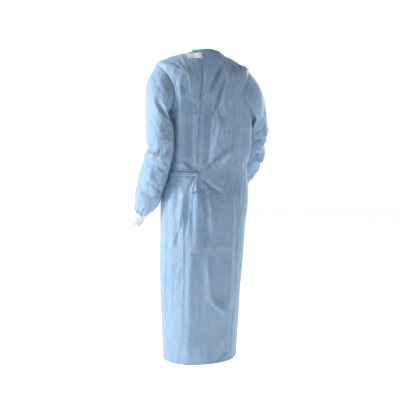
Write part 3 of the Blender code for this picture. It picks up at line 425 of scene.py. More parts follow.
# Crumpling above, streaks that take over down the skirt, and calmer cloth under the belt
CRUMPLE = 0.0011
STREAK = 0.0010
SKIRT_START = 0.45
SKIRT_RUN = 0.25
BELT_LINE = 0.512
BELT_CALM = 0.8
BELT_CALM_REACH = 0.016
NECK_CALM = 0.03
NECK_CALM_RUN = 0.12


def body_rise(angle, down):
    """Large folds, creases, packing lines and crumpling of the body, added up."""
    turned = np.mod(angle + pi, 2 * pi) - pi
    x = turned * FOLD_GIRTH
    rise = np.zeros(np.shape(angle))
    for fold in BODY_FOLDS:
        start = (radians(fold.from_angle) * FOLD_GIRTH, fold.from_down)
        end = (radians(fold.to_angle) * FOLD_GIRTH, fold.to_down)
        rise = rise + fold.rise * soft_fold(x, down, start, end, fold.half_width)
    rise = add_creases(rise, x, down, BACK_CREASES + FRONT_CREASES + PACKING_DOWN, FOLD_GIRTH)
    for line_down in PACKING_ACROSS:
        rise = rise + PACKING_RISE * np.exp(-(((down - line_down) / PACKING_WIDTH) ** 2))
    under_belt = np.exp(-(((down - BELT_LINE) / BELT_CALM_REACH) ** 2))
    calm = ease((down - NECK_CALM) / NECK_CALM_RUN) * (1 - BELT_CALM * under_belt)
    skirt = ease((down - SKIRT_START) / SKIRT_RUN)
    crumple = waves(turned, down, count=36, lowest=7, highest=30, slant=5.0, seed=3)
    streak = waves(turned, down, count=26, lowest=3, highest=20, slant=2.2, seed=5) * skirt
    crumple = crumple * (1 - 0.5 * skirt)
    return rise + calm * (CRUMPLE * crumple + STREAK * streak)


def body(angle, down):
    """The body's outer surface with its folds, which rise and sink along its normal."""
    angle, down = np.broadcast_arrays(np.asarray(angle, float), np.asarray(down, float))
    rise = body_rise(angle, down)[..., None]
    return body_base(angle, down) + rise * outward(body_base, angle, down)


def armhole_edge(side, part, way):
    """Angle and way down of an armhole's edge; way 0 is the shoulder tip, 1 the underarm."""
    share = way - ARMHOLE_EASE * np.sin(2 * pi * way) / (2 * pi)
    down = TIP_DOWN + (UNDERARM_DOWN - TIP_DOWN) * share
    top = 0.0 if side == "left" else 180.0
    towards_back = 1.0 if side == "left" else -1.0
    underarm = getattr(SIDE_SEAMS[0], side + "_angle")
    bow = ARMHOLE_BACK_BOW if part == "back" else -ARMHOLE_FRONT_BOW
    degrees = top + (underarm - top) * way**2 + towards_back * bow * np.sin(pi * way)
    return np.radians(degrees), down


# Rows of points down a panel: evenly spread over the yoke, beside the armhole and below
YOKE_STEPS = 42
SKIRT_STEPS = 236


def panel_rows():
    way = np.linspace(0, 1, ARMHOLE_STEPS + 1)
    _, beside_armhole = armhole_edge("left", "back", way)
    yoke = np.linspace(0, TIP_DOWN, YOKE_STEPS, endpoint=False)
    skirt = np.linspace(UNDERARM_DOWN, LENGTH, SKIRT_STEPS + 1)[1:]
    return np.concatenate([yoke, beside_armhole, skirt])


def side_edge(side, part):
    """Angles of a panel's side edge at every row: shoulder, armhole, then side seam."""
    way = np.linspace(0, 1, ARMHOLE_STEPS + 1)
    shoulder = np.full(YOKE_STEPS, 0.0 if side == "left" else pi)
    armhole, _ = armhole_edge(side, part, way)
    skirt = np.linspace(UNDERARM_DOWN, LENGTH, SKIRT_STEPS + 1)[1:]
    seam = np.radians(read(SIDE_SEAMS, side + "_angle", skirt))
    return np.concatenate([shoulder, armhole, seam])


def across(first, last, columns):
    """Columns of angles evenly spread between two edges."""
    share = np.linspace(0, 1, columns)
    return first[:, None] + (last - first)[:, None] * share


def seam_step(down):
    """Half the gap at a seam, as an angle."""
    reach = np.minimum(read(SECTIONS, "left", down), read(SECTIONS, "right", down))
    return SEAM_GAP / 2 / reach


def placed(name, data):
    """A new object of a mesh, camera or light, in the scene, at the origin."""
    new = bpy.data.objects.new(name, data)
    bpy.context.scene.collection.objects.link(new)
    return new


def smooth_piece(name, points, faces, sharp=None):
    """A smooth object from points and faces, but for edges past the sharp angle."""
    mesh = bpy.data.meshes.new(name)
    mesh.from_pydata(points.tolist(), [], faces)
    mesh.shade_smooth()
    if sharp is not None:
        mesh.set_sharp_from_angle(angle=radians(sharp))
    return placed(name, mesh)


def shell(name, outer, inner, closed=False, layers=None):
    """A closed wall between two grids, with its rims; closed joins row ends. The attribute layers
    says where the cloth lies double or in more layers, as at a seam or a hem, where the cloth's
    material makes it darker, partly as painted shade; on the cuffs it holds the painted shade
    between the ribs."""
    rows, columns = outer.shape[:2]
    count = rows * columns
    index = np.arange(count).reshape(rows, columns)
    if closed:
        index = np.concatenate([index, index[:, :1]], axis=1)
    quads = np.stack([index[:-1, :-1], index[1:, :-1], index[1:, 1:], index[:-1, 1:]], axis=-1)
    quads = quads.reshape(-1, 4)
    faces = [quads, quads[:, ::-1] + count]
    rims = [index[0], index[-1][::-1]]
    if not closed:
        rims += [index[:, 0][::-1], index[:, -1]]
    for rim in rims:
        wall = [rim[:-1], rim[1:], rim[1:] + count, rim[:-1] + count]
        faces.append(np.stack(wall, axis=-1))
    points = np.concatenate([outer.reshape(-1, 3), inner.reshape(-1, 3)])
    piece = smooth_piece(name, points, np.concatenate(faces).tolist(), sharp=60)
    if layers is not None:
        values = np.tile(np.broadcast_to(layers, (rows, columns)).ravel(), 2)
        attribute = piece.data.attributes.new("layers", "FLOAT", "POINT")
        attribute.data.foreach_set("value", values.astype(np.float32))
    return piece


# Seams: the edges turn in a little, pucker along the stitches and lie double
SEAM_REACH = 0.0035
SEAM_SINK = 0.0009
PUCKER = 0.0004
PUCKER_RATE = 420.0
SEAM_BAND = 0.0060
SEAM_BAND_EDGE = 0.002
# The hem and a panel's free edge are turned over, and stand out by the second thickness
HEM_BAND = 0.012
HEM_RISE = 0.0003
HEM_LAYERS = 0.6
FOLDED_RISE = 0.0004
FOLDED_EDGE = 0.001


def from_edge(points, column):
    """How far each point of a grid is from one of its edge columns, along its row."""
    steps = np.linalg.norm(np.diff(points, axis=1), axis=-1)
    run = np.concatenate([np.zeros((len(points), 1)), np.cumsum(steps, axis=1)], axis=1)
    return run if column == 0 else run[:, -1:] - run


def seam_sink(away, along):
    """The way in at a seam: a bell across it, and a slight pucker that fades beside it."""
    pucker = np.sin(PUCKER_RATE * along) * np.sin(0.31 * PUCKER_RATE * along + 1.0)
    bell = np.exp(-((away / SEAM_REACH) ** 2))
    return SEAM_SINK * bell - PUCKER * pucker * np.exp(-((away / (3 * SEAM_REACH)) ** 2))


def cloth_panel(name, angle, down, offset, seams, folded=()):
    """A panel of the body: its outer side moved out by the offset, in at its seams."""
    ways = np.broadcast_to(down[:, None], angle.shape)
    surface, normal = body(angle, ways), outward(body, angle, ways)
    # Where the cloth lies double, at seams, folded edges and the hem, the material makes it
    # darker: partly its own deeper colour, partly painted shade
    layers = np.zeros(angle.shape)
    move = np.broadcast_to(offset, angle.shape).copy()
    for column in seams:
        away = from_edge(surface, column)
        move -= seam_sink(away, ways)
        layers = np.maximum(layers, ease((SEAM_BAND - away) / SEAM_BAND_EDGE))
    for column, band in folded:
        turned_over = ease((band - from_edge(surface, column)) / FOLDED_EDGE)
        layers = np.maximum(layers, turned_over)
        move += FOLDED_RISE * turned_over
    hem = ease((down - (LENGTH - HEM_BAND)) / SEAM_BAND_EDGE)[:, None]
    layers = np.maximum(layers, HEM_LAYERS * hem)
    outer = surface + (move + HEM_RISE * hem)[..., None] * normal
    return shell(name, outer, outer - SHELL * normal, layers=layers)


# Nonwoven cloth: light blue fibres bonded in small points, with a soft satin bloom
CLOTH_PALE = (0.395, 0.545, 0.705)
CLOTH_DEEP = (0.250, 0.400, 0.620)
# Darker blue where the cloth lies double: partly its own deeper colour, partly painted shade at
# seams and folded edges
CLOTH_DOUBLE_AND_SHADE = (0.180, 0.350, 0.600)
CLOTH_ROUGHNESS = 0.52
CLOTH_SHEEN = 0.36
BOND_SCALE = 620.0
FIBRE_SCALE = 900.0
CLOUD_SCALE = 16.0
RUMPLE_SCALE = 42.0


class Nodes:
    """Short hands for building one material's nodes."""

    def __init__(self, name):
        self.material = bpy.data.materials.new(name)
        self.material.use_nodes = True
        self.tree = self.material.node_tree
        self.shader = self.tree.nodes["Principled BSDF"]
        self.place = self.tree.nodes.new("ShaderNodeTexCoord").outputs["Object"]

    def add(self, kind, inputs=None, **settings):
        node = self.tree.nodes.new(kind)
        for key, value in settings.items():
            setattr(node, key, value)
        for key, value in (inputs or {}).items():
            self.join(value, node.inputs[key])
        return node

    def join(self, value, socket):
        if isinstance(value, bpy.types.NodeSocket):
            self.tree.links.new(value, socket)
        else:
            socket.default_value = value

    def noise(self, scale, detail=3.0, roughness=0.55):
        inputs = {"Vector": self.place, "Scale": scale, "Detail": detail, "Roughness": roughness}
        return self.add("ShaderNodeTexNoise", inputs).outputs["Fac"]

    def mix(self, share, first, second):
        node = self.add("ShaderNodeMix", data_type="RGBA")
        for value, socket in zip((share, first, second), (0, 6, 7)):
            if isinstance(value, tuple):
                value = (*value, 1.0)
            self.join(value, node.inputs[socket])
        return node.outputs[2]

    def spread(self, value, low, high, to_low=0.0, to_high=1.0):
        inputs = {0: value, 1: low, 2: high, 3: to_low, 4: to_high}
        return self.add("ShaderNodeMapRange", inputs).outputs[0]

    def maths(self, operation, first, second=0.5):
        inputs = {0: first, 1: second}
        return self.add("ShaderNodeMath", inputs, operation=operation).outputs[0]

    def bump(self, height, distance, strength=1.0):
        inputs = {"Height": height, "Distance": distance, "Strength": strength}
        self.join(self.add("ShaderNodeBump", inputs).outputs[0], self.shader.inputs["Normal"])

    def set(self, **sockets):
        for key, value in sockets.items():
            self.join(value, self.shader.inputs[key.replace("_", " ")])


def nonwoven(name):
    """Clouds of two blues over bond points; darker and more saturated where the cloth is double,
    partly its own deeper colour and partly painted shade at sunk seams and folded edges.
    """
    n = Nodes(name)
    clouds = n.spread(n.noise(CLOUD_SCALE, 5.0, 0.6), 0.32, 0.68)
    fibres = n.spread(n.noise(FIBRE_SCALE, 2.0, 0.7), 0.30, 0.70)
    blend = n.maths("ADD", n.maths("MULTIPLY", clouds, 0.45), n.maths("MULTIPLY", fibres, 0.35))
    colour = n.mix(blend, CLOTH_DEEP, CLOTH_PALE)
    layers = n.add("ShaderNodeAttribute", attribute_name="layers").outputs["Fac"]
    colour = n.mix(n.maths("MULTIPLY", layers, 0.6), colour, CLOTH_DOUBLE_AND_SHADE)
    n.join(colour, n.shader.inputs["Base Color"])
    inputs = {"Vector": n.place, "Scale": BOND_SCALE, "Randomness": 0.25}
    bond = n.add("ShaderNodeTexVoronoi", inputs).outputs["Distance"]
    points = n.spread(bond, 0.10, 0.45)
    height = n.maths("ADD", n.maths("MULTIPLY", points, 0.5), n.maths("MULTIPLY", fibres, 0.5))
    rumple = n.maths("MULTIPLY", n.noise(RUMPLE_SCALE, 6.0, 0.6), 22.0)
    n.bump(n.maths("ADD", height, rumple), 0.00025, 0.55)
    n.join(n.spread(fibres, 0.0, 1.0, CLOTH_ROUGHNESS - 0.06, CLOTH_ROUGHNESS + 0.06),
           n.shader.inputs["Roughness"])
    n.set(Sheen_Weight=CLOTH_SHEEN, Sheen_Roughness=0.38, Sheen_Tint=(0.86, 0.93, 1.0, 1.0))
    n.set(Specular_IOR_Level=0.38)
    return n.material


def settle(piece, material, slot, *nodes):
    """Finishes a piece: its material, its place in the frame and the nodes it stands for."""
    piece.data.materials.clear()
    piece.data.materials.append(material)
    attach(piece, "root")
    if nodes:
        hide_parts(*nodes)
    return piece


cloth = nonwoven("light_blue_nonwoven")


# The outer back panel's lift over the one beneath, at the neck and below, and its run out
LIFT_AT_NECK = 0.0050
LIFT_BELOW = 0.0024
LIFT_NECK_END = 0.014
LIFT_FALL = 0.050
LIFT_PAST_EDGE = 0.004
LIFT_RUN_OUT = 0.040
FRONT_COLUMNS = 128


def lift(angle, down):
    """How far the outer back panel lies out: full over the panel beneath, then run out."""
    fall = ease((down - LIFT_NECK_END) / LIFT_FALL)
    full = LIFT_AT_NECK + (LIFT_BELOW - LIFT_AT_NECK) * fall
    past_edge = read(FREE_EDGES, "under_edge", down) - body_base(angle, down)[..., 0]
    return full * (1 - ease((past_edge - LIFT_PAST_EDGE) / LIFT_RUN_OUT))


def front_angles(down):
    step = seam_step(down)
    right = side_edge("right", "front") - 2 * pi + step
    return across(right, side_edge("left", "front") - step, FRONT_COLUMNS)


down = panel_rows()
front_angle = front_angles(down)
ways = np.broadcast_to(down[:, None], front_angle.shape)
on_outer_side = np.where(front_angle < -pi, lift(front_angle, ways), 0.0)
front = cloth_panel("front_panel", front_angle, down, on_outer_side, seams=(0, -1))
settle(front, cloth, "cloth", "front")


# Back panels: two pieces that wrap over each other from the side seams. The gown's right
# one lies outside, and the two share their points where they are doubled, so that the outer
# one follows the one beneath it. Each free edge is turned over and stitched down.
LEFT_BACK_COLUMNS = 42
OVERLAP_COLUMNS = 34
RIGHT_BACK_COLUMNS = 58
FREE_HEM = 0.0065


def angle_of(x, down):
    """The angle on the back at which the body is x left of the centre back."""
    angle = np.full(np.shape(down), pi / 2)
    for _ in range(12):
        reach = np.linalg.norm(body_base(angle, down)[..., :2], axis=-1)
        angle = np.arccos(np.clip(x / reach, -1, 1))
    return angle


def free_edge_angles(down):
    """Angles of the outer panel's free edge and of the edge beneath it."""
    return tuple(angle_of(read(FREE_EDGES, e, down), down) for e in ("outer_edge", "under_edge"))


def back_angles(side, down):
    """Columns of a back panel: doubled between the free edges, single beside its seam."""
    outer_edge, under_edge = free_edge_angles(down)
    doubled = across(outer_edge, under_edge, OVERLAP_COLUMNS)
    if side == "left":
        seam = side_edge("left", "back") + seam_step(down)
        return np.concatenate(
            [across(seam, outer_edge, LEFT_BACK_COLUMNS)[:, :-1], doubled], axis=1
        )
    seam = side_edge("right", "back") - seam_step(down)
    single = across(under_edge, seam, RIGHT_BACK_COLUMNS)
    return np.concatenate([doubled, single[:, 1:]], axis=1)


left_angle, right_angle = back_angles("left", down), back_angles("right", down)
under = cloth_panel(
    "left_back_panel", left_angle, down, 0.0, seams=(0,), folded=((-1, FREE_HEM),)
)
settle(under, cloth, "cloth", "back_left")
lifted = lift(right_angle, np.broadcast_to(down[:, None], right_angle.shape))
outer = cloth_panel(
    "right_back_panel", right_angle, down, lifted, seams=(-1,), folded=((0, FREE_HEM),)
)
settle(outer, cloth, "cloth", "back_right")


# Sleeves: one piece each, set into the armholes, bent at the elbow and gathered into the
# cuffs. Each is a tube through a table of sections whose first ring is the armhole's edge.
SleeveSection = namedtuple("SleeveSection", "x y z outwards backwards")
SLEEVE_LEFT = (
    SleeveSection(0.168, 0.012, -0.160, 0.080, 0.085),
    SleeveSection(0.204, 0.034, -0.212, 0.066, 0.072),
    SleeveSection(0.206, 0.048, -0.275, 0.058, 0.066),
    SleeveSection(0.203, 0.055, -0.345, 0.057, 0.064),
    SleeveSection(0.203, 0.055, -0.410, 0.054, 0.064),
    SleeveSection(0.213, 0.030, -0.480, 0.057, 0.061),
    SleeveSection(0.224, -0.003, -0.550, 0.058, 0.059),
    SleeveSection(0.233, -0.040, -0.625, 0.052, 0.055),
    SleeveSection(0.249, -0.078, -0.678, 0.028, 0.030),
)
SLEEVE_RIGHT = (
    SleeveSection(-0.172, -0.004, -0.165, 0.080, 0.085),
    SleeveSection(-0.232, -0.016, -0.225, 0.069, 0.072),
    SleeveSection(-0.254, -0.034, -0.290, 0.061, 0.066),
    SleeveSection(-0.260, -0.050, -0.350, 0.059, 0.064),
    SleeveSection(-0.262, -0.066, -0.410, 0.059, 0.063),
    SleeveSection(-0.254, -0.106, -0.475, 0.058, 0.060),
    SleeveSection(-0.238, -0.153, -0.538, 0.055, 0.057),
    SleeveSection(-0.222, -0.200, -0.594, 0.049, 0.052),
    SleeveSection(-0.214, -0.242, -0.634, 0.028, 0.030),
)
SLEEVES = {"left": SLEEVE_LEFT, "right": SLEEVE_RIGHT}
# Large folds, from one turn round the tube and row of its table to another
SLEEVE_GIRTH = 0.056
SLEEVE_ROW = 0.070
SleeveFold = namedtuple("SleeveFold", "from_turn from_row to_turn to_row half_width rise")
SLEEVE_FOLDS = {
    "left": (
        SleeveFold(20.0, 0.60, 62.0, 1.50, 0.022, -0.008),
        SleeveFold(62.0, 1.50, 125.0, 1.95, 0.022, -0.008),
        SleeveFold(30.0, 1.50, 80.0, 2.20, 0.024, 0.006),
        SleeveFold(-30.0, 3.95, 112.0, 3.80, 0.022, -0.009),
        SleeveFold(20.0, 4.35, 95.0, 4.30, 0.022, 0.006),
        SleeveFold(30.0, 4.75, 105.0, 4.90, 0.021, -0.007),
        SleeveFold(60.0, 5.40, 120.0, 6.60, 0.025, 0.007),
        SleeveFold(-15.0, 5.80, 60.0, 6.30, 0.024, -0.006),
        SleeveFold(180.0, 4.40, 235.0, 4.00, 0.023, -0.007),
        SleeveFold(290.0, 1.40, 240.0, 2.30, 0.023, -0.007),
        SleeveFold(290.0, 3.20, 250.0, 4.30, 0.024, 0.007),
    ),
    "right": (
        SleeveFold(10.0, 0.80, 60.0, 1.80, 0.022, -0.008),
        SleeveFold(-20.0, 2.30, 50.0, 2.80, 0.023, 0.006),
        SleeveFold(-30.0, 3.60, 60.0, 3.90, 0.021, -0.007),
        SleeveFold(-10.0, 4.30, 80.0, 4.40, 0.022, 0.006),
        SleeveFold(180.0, 4.10, 240.0, 3.90, 0.022, -0.007),
        SleeveFold(300.0, 1.30, 240.0, 2.40, 0.023, -0.007),
        SleeveFold(40.0, 5.30, 110.0, 6.50, 0.025, 0.007),
        SleeveFold(280.0, 5.20, 330.0, 6.30, 0.023, -0.006),
    ),
}
SLEEVE_CREASES = {
    "left": (
        # Drag folds out of the armhole, over the shoulder blade
        Crease(-12.0, 0.35, 40.0, 1.02, 0.006, 0.0069, -0.0071, 0.7),
        Crease(34.0, 0.95, 104.0, 0.90, -0.004, 0.0069, -0.0068, 0.7),
        Crease(44.0, 1.18, 112.0, 1.10, -0.006, 0.0063, -0.0051, 0.6),
        Crease(-4.0, 0.62, 30.0, 1.30, 0.004, 0.0075, 0.0044, 0.4),
        Crease(10.0, 0.18, 62.0, 0.30, 0.004, 0.0063, -0.0051, 0.6),
        Crease(58.0, 1.50, 96.0, 2.00, -0.006, 0.0081, -0.0037, 0.5),
        Crease(8.0, 1.70, 22.0, 2.60, 0.003, 0.0088, 0.0027, 0.4),
        Crease(88.0, 2.00, 120.0, 2.60, 0.004, 0.0075, -0.0041, 0.5),
        Crease(60.0, 2.60, 76.0, 3.20, 0.003, 0.0088, 0.0024, 0.5),
        Crease(-24.0, 2.20, -10.0, 3.10, 0.003, 0.0088, -0.0024, 0.5),
        # Broad drags under those folds, and the long hollow down the back of the arm
        Crease(-14.0, 0.50, 92.0, 1.40, 0.005, 0.0100, -0.0052, 0.4),
        Crease(20.0, 1.45, 118.0, 2.15, 0.005, 0.0100, -0.0050, 0.4),
        Crease(100.0, 2.20, 88.0, 3.60, 0.004, 0.0120, -0.0040, 0.3),
        # Inner bend of the elbow
        Crease(-24.0, 4.10, 116.0, 3.88, 0.002, 0.0110, -0.0060, 0.3),
        Crease(10.0, 4.60, 110.0, 4.78, 0.003, 0.0100, -0.0042, 0.3),
        Crease(-14.0, 4.22, 42.0, 4.08, 0.002, 0.0050, -0.0075, 0.8),
        Crease(38.0, 4.10, 102.0, 3.92, -0.004, 0.0052, -0.0078, 0.8),
        Crease(8.0, 3.76, 60.0, 3.60, -0.003, 0.0069, -0.0044, 0.6),
        Crease(54.0, 3.66, 108.0, 3.50, -0.004, 0.0069, -0.0044, 0.6),
        Crease(20.0, 3.96, 70.0, 3.86, -0.002, 0.0056, 0.0044, 0.3),
        Crease(42.0, 4.42, 84.0, 4.40, 0.003, 0.0056, -0.0051, 0.7),
        Crease(78.0, 4.40, 130.0, 4.62, 0.004, 0.0063, -0.0048, 0.7),
        Crease(-20.0, 4.48, 30.0, 4.56, -0.003, 0.0063, 0.0041, 0.5),
        # Forearm facets and the soft breaks towards the cuff
        Crease(64.0, 4.82, 112.0, 5.02, 0.003, 0.0069, 0.0051, -0.7),
        Crease(52.0, 5.72, 92.0, 5.86, 0.003, 0.0063, -0.0054, 0.7),
        Crease(88.0, 5.84, 128.0, 6.30, 0.003, 0.0063, -0.0051, 0.7),
        Crease(100.0, 4.80, 92.0, 5.80, 0.004, 0.0075, 0.0044, 0.6),
        Crease(40.0, 5.00, 62.0, 5.60, 0.004, 0.0075, 0.0034, 0.5),
        Crease(4.0, 5.20, 30.0, 5.90, -0.003, 0.0075, -0.0034, 0.5),
        Crease(26.0, 6.52, 88.0, 6.38, 0.003, 0.0056, -0.0061, 0.8),
        Crease(30.0, 6.20, 70.0, 6.12, -0.003, 0.0063, 0.0037, 0.5),
        Crease(112.0, 5.90, 94.0, 6.60, 0.002, 0.0056, -0.0061, 0.7),
        Crease(94.0, 6.50, 92.0, 7.35, 0.002, 0.0056, -0.0054, 0.7),
        Crease(128.0, 6.10, 108.0, 7.10, 0.003, 0.0081, 0.0051, 0.3),
        # The side away from the back
        Crease(180.0, 4.30, 232.0, 4.05, 0.003, 0.0056, -0.0061, 0.7),
        Crease(200.0, 3.80, 262.0, 3.60, -0.003, 0.0063, -0.0051, 0.6),
        Crease(188.0, 4.60, 246.0, 4.70, 0.003, 0.0063, -0.0048, 0.6),
        Crease(290.0, 0.80, 238.0, 1.50, 0.006, 0.0075, -0.0051, 0.6),
        Crease(300.0, 1.50, 262.0, 2.30, -0.004, 0.0075, 0.0041, 0.5),
        Crease(262.0, 2.40, 280.0, 3.40, 0.004, 0.0088, -0.0034, 0.5),
        Crease(300.0, 3.00, 312.0, 4.00, 0.003, 0.0088, 0.0031, 0.5),
        Crease(260.0, 5.00, 300.0, 5.60, 0.004, 0.0075, -0.0044, 0.6),
        Crease(300.0, 5.40, 330.0, 6.20, -0.004, 0.0075, 0.0041, 0.5),
        Crease(230.0, 5.60, 290.0, 6.40, 0.004, 0.0069, -0.0041, 0.6),
        Crease(180.0, 5.20, 210.0, 6.20, 0.004, 0.0075, 0.0034, 0.5),
    ),
    "right": (
        # Folds of the visible strip beside the back, from the shoulder down
        Crease(24.0, 0.45, 74.0, 0.88, 0.004, 0.0063, -0.0061, 0.7),
        Crease(52.0, 0.30, 92.0, 0.62, 0.003, 0.0063, 0.0044, 0.5),
        Crease(108.0, 1.00, 70.0, 1.58, 0.003, 0.0063, 0.0051, 0.6),
        Crease(70.0, 1.55, 28.0, 1.92, 0.003, 0.0063, -0.0054, 0.7),
        Crease(112.0, 2.56, 86.0, 2.36, 0.002, 0.0056, -0.0061, 0.7),
        Crease(88.0, 2.38, 42.0, 2.12, 0.002, 0.0056, -0.0054, 0.7),
        Crease(112.0, 3.26, 76.0, 2.92, 0.003, 0.0063, -0.0051, 0.7),
        Crease(78.0, 2.92, 44.0, 2.84, 0.003, 0.0063, 0.0048, 0.5),
        Crease(106.0, 3.92, 74.0, 3.94, 0.003, 0.0052, -0.0075, 0.8),
        Crease(76.0, 3.95, 36.0, 4.32, 0.003, 0.0052, -0.0068, 0.8),
        Crease(98.0, 4.24, 36.0, 4.46, 0.003, 0.0052, 0.0058, 0.5),
        Crease(60.0, 3.50, 20.0, 3.60, 0.003, 0.0063, -0.0044, 0.6),
        Crease(56.0, 5.20, 28.0, 4.78, 0.003, 0.0063, 0.0041, 0.6),
        Crease(30.0, 1.00, 10.0, 1.90, 0.004, 0.0081, 0.0034, 0.5),
        Crease(-6.0, 0.60, -20.0, 1.60, 0.004, 0.0081, -0.0041, 0.5),
        Crease(4.0, 2.40, -16.0, 3.20, 0.004, 0.0081, -0.0034, 0.5),
        # The outer side and the front of the arm
        Crease(-60.0, 0.70, -112.0, 1.40, 0.006, 0.0075, -0.0054, 0.6),
        Crease(-50.0, 1.40, -98.0, 2.20, -0.004, 0.0075, 0.0041, 0.5),
        Crease(-98.0, 2.30, -80.0, 3.30, 0.004, 0.0088, -0.0037, 0.5),
        Crease(-50.0, 3.10, -44.0, 4.00, 0.003, 0.0088, 0.0031, 0.5),
        Crease(180.0, 4.20, 234.0, 3.92, 0.003, 0.0056, -0.0068, 0.7),
        Crease(196.0, 3.70, 260.0, 3.50, -0.003, 0.0063, -0.0051, 0.6),
        Crease(190.0, 4.60, 250.0, 4.60, 0.003, 0.0063, -0.0048, 0.6),
        Crease(-70.0, 4.90, -30.0, 5.50, 0.004, 0.0075, -0.0044, 0.6),
        Crease(-60.0, 5.50, -20.0, 6.30, 0.004, 0.0075, 0.0041, 0.5),
        Crease(200.0, 5.20, 240.0, 6.20, 0.004, 0.0075, -0.0041, 0.5),
        Crease(110.0, 5.20, 90.0, 6.20, 0.004, 0.0075, 0.0044, 0.5),
        Crease(20.0, 5.80, 70.0, 6.20, 0.004, 0.0063, -0.0051, 0.7),
        Crease(-10.0, 6.50, 50.0, 6.50, 0.003, 0.0063, -0.0048, 0.7),
    ),
}
GATHERS = 11
GATHER_RISE = 0.003
GATHER_ROWS = 1.3
FINE_GATHERS = ((17, 0.0010, 0.9), (23, 0.0009, 2.1), (31, 0.0006, 4.0))
FINE_GATHER_ROWS = 0.8
SLEEVE_RINGS = 168
SLEEVE_BLEND = 3.0
SLEEVE_CRUMPLE = 0.0011
SLEEVE_SEAM_GIRTH = 1.4 * SLEEVE_GIRTH


def turned_to(turn, first, last):
    """The turn, moved by a whole turn where that brings it nearer to first and last."""
    middle = radians(first + last) / 2
    return middle + np.mod(turn - middle + pi, 2 * pi) - pi


def sleeve_rise(side, turn, at):
    """The sleeve's folds, creases and crumpling, and the gathers that the cuff draws in."""
    last = len(SLEEVES[side]) - 1
    rise = GATHER_RISE * ease(1 - (last - at) / GATHER_ROWS) * np.cos(GATHERS * turn)
    for count, height, shift in FINE_GATHERS:
        near = ease(1 - (last - at) / FINE_GATHER_ROWS)
        rise = rise + height * near * np.cos(count * turn + shift)
    for fold in SLEEVE_FOLDS[side]:
        x = turned_to(turn, fold.from_turn, fold.to_turn) * SLEEVE_GIRTH
        start = (radians(fold.from_turn) * SLEEVE_GIRTH, fold.from_row * SLEEVE_ROW)
        end = (radians(fold.to_turn) * SLEEVE_GIRTH, fold.to_row * SLEEVE_ROW)
        rise = rise + fold.rise * soft_fold(x, at * SLEEVE_ROW, start, end, fold.half_width)
    for line in SLEEVE_CREASES[side]:
        x = turned_to(turn, line.a0, line.a1) * SLEEVE_GIRTH
        rise = add_creases(rise, x, at * SLEEVE_ROW, (line,), SLEEVE_GIRTH, SLEEVE_ROW)
    seed = 11 if side == "left" else 13
    along = at * SLEEVE_ROW
    crumple = waves(turn, along, count=30, lowest=3, highest=13, slant=24.0, seed=seed)
    return rise + SLEEVE_CRUMPLE * ease(at / 0.5) * crumple


def sleeve_reader(side):
    """A function that reads a column of the sleeve's table, rows counted from 0."""
    table = SLEEVES[side]
    knots = np.arange(len(table))
    return lambda column, at: smooth_curve(at, knots, [getattr(r, column) for r in table])


def sleeve_middle(side, at):
    look = sleeve_reader(side)
    return np.stack([look("x", at), look("y", at), look("z", at)], axis=-1)


def sleeve_axes(side, at):
    """Along, outwards and backwards directions of the sleeve at a place on its path."""
    step = 1e-3
    along = unit(sleeve_middle(side, at + step) - sleeve_middle(side, at - step))
    back = np.array([0.0, 1.0, 0.0])
    back = unit(back - (along @ back)[..., None] * along)
    out = np.cross(along, back) * (1 if side == "left" else -1)
    return along, out, back


def armhole_loop(side, turn):
    """Points, normals and ways into the hole of the armhole's edge."""
    def edge(at_turn):
        at_turn = np.mod(at_turn, 2 * pi)
        way = np.where(at_turn <= pi, at_turn, 2 * pi - at_turn) / pi
        back_angle, down = armhole_edge(side, "back", way)
        front_angle, _ = armhole_edge(side, "front", way)
        return np.where(at_turn <= pi, back_angle, front_angle), down

    angle, down = edge(turn)
    here, normal = body(angle, down), outward(body, angle, down)
    step = 2e-3
    run = body(*edge(turn + step)) - body(*edge(turn - step))
    inwards = unit(np.cross(normal, run)) * (-1 if side == "left" else 1)
    return here, normal, inwards


def sleeve_surface(side, turn, at):
    """The sleeve's tube: turn 0 is its outer side, a quarter turn its back."""
    look = sleeve_reader(side)
    _, out, back = sleeve_axes(side, at)
    rise = sleeve_rise(side, turn, at)
    shape = ((look("outwards", at) + rise) * np.cos(turn))[..., None] * out
    shape = shape + ((look("backwards", at) + rise) * np.sin(turn))[..., None] * back
    loop, _, _ = armhole_loop(side, turn)
    loop = loop - sleeve_middle(side, 0.0)
    blend = ease(at / SLEEVE_BLEND)[..., None]
    return sleeve_middle(side, at) + (1 - blend) * loop + blend * shape


def sleeve(side):
    """Rings of the tube after the armhole's own edge, with seam puckers at both ends."""
    last = len(SLEEVES[side]) - 1.0
    turn = np.linspace(0, 2 * pi, 2 * ARMHOLE_STEPS, endpoint=False)
    here, normal, inwards = armhole_loop(side, turn)
    here = here - seam_sink(np.zeros(len(turn)), turn * SLEEVE_SEAM_GIRTH)[:, None] * normal
    turns, at = np.meshgrid(turn, np.linspace(0, last, SLEEVE_RINGS)[1:])
    tube = sleeve_surface(side, turns, at)
    step = 1e-3
    ahead, behind = sleeve_surface(side, turns + step, at), sleeve_surface(side, turns - step, at)
    below, above = sleeve_surface(side, turns, at + step), sleeve_surface(side, turns, at - step)
    facing = unit(np.cross(below - above, ahead - behind)) * (1 if side == "left" else -1)
    away = np.minimum(at, last - at) * SLEEVE_ROW
    tube = tube - seam_sink(away, turns * SLEEVE_SEAM_GIRTH)[..., None] * facing
    seam = here + SEAM_GAP * inwards
    # The seam bands lie double; the material makes them darker, partly as painted shade in the
    # sunk seams
    doubled = ease((SEAM_BAND - away) / SEAM_BAND_EDGE)
    layers = np.concatenate([np.ones((1, len(turn))), doubled])
    outer = np.concatenate([seam[None], tube])
    inner = np.concatenate([(seam - SHELL * normal)[None], tube - SHELL * facing])
    if side == "right":
        outer, inner = outer[:, ::-1], inner[:, ::-1]
    return shell(side + "_sleeve", outer, inner, closed=True, layers=layers)


for side in ("left", "right"):
    tube = settle(sleeve(side), cloth, "cloth", "sleeve_" + side)


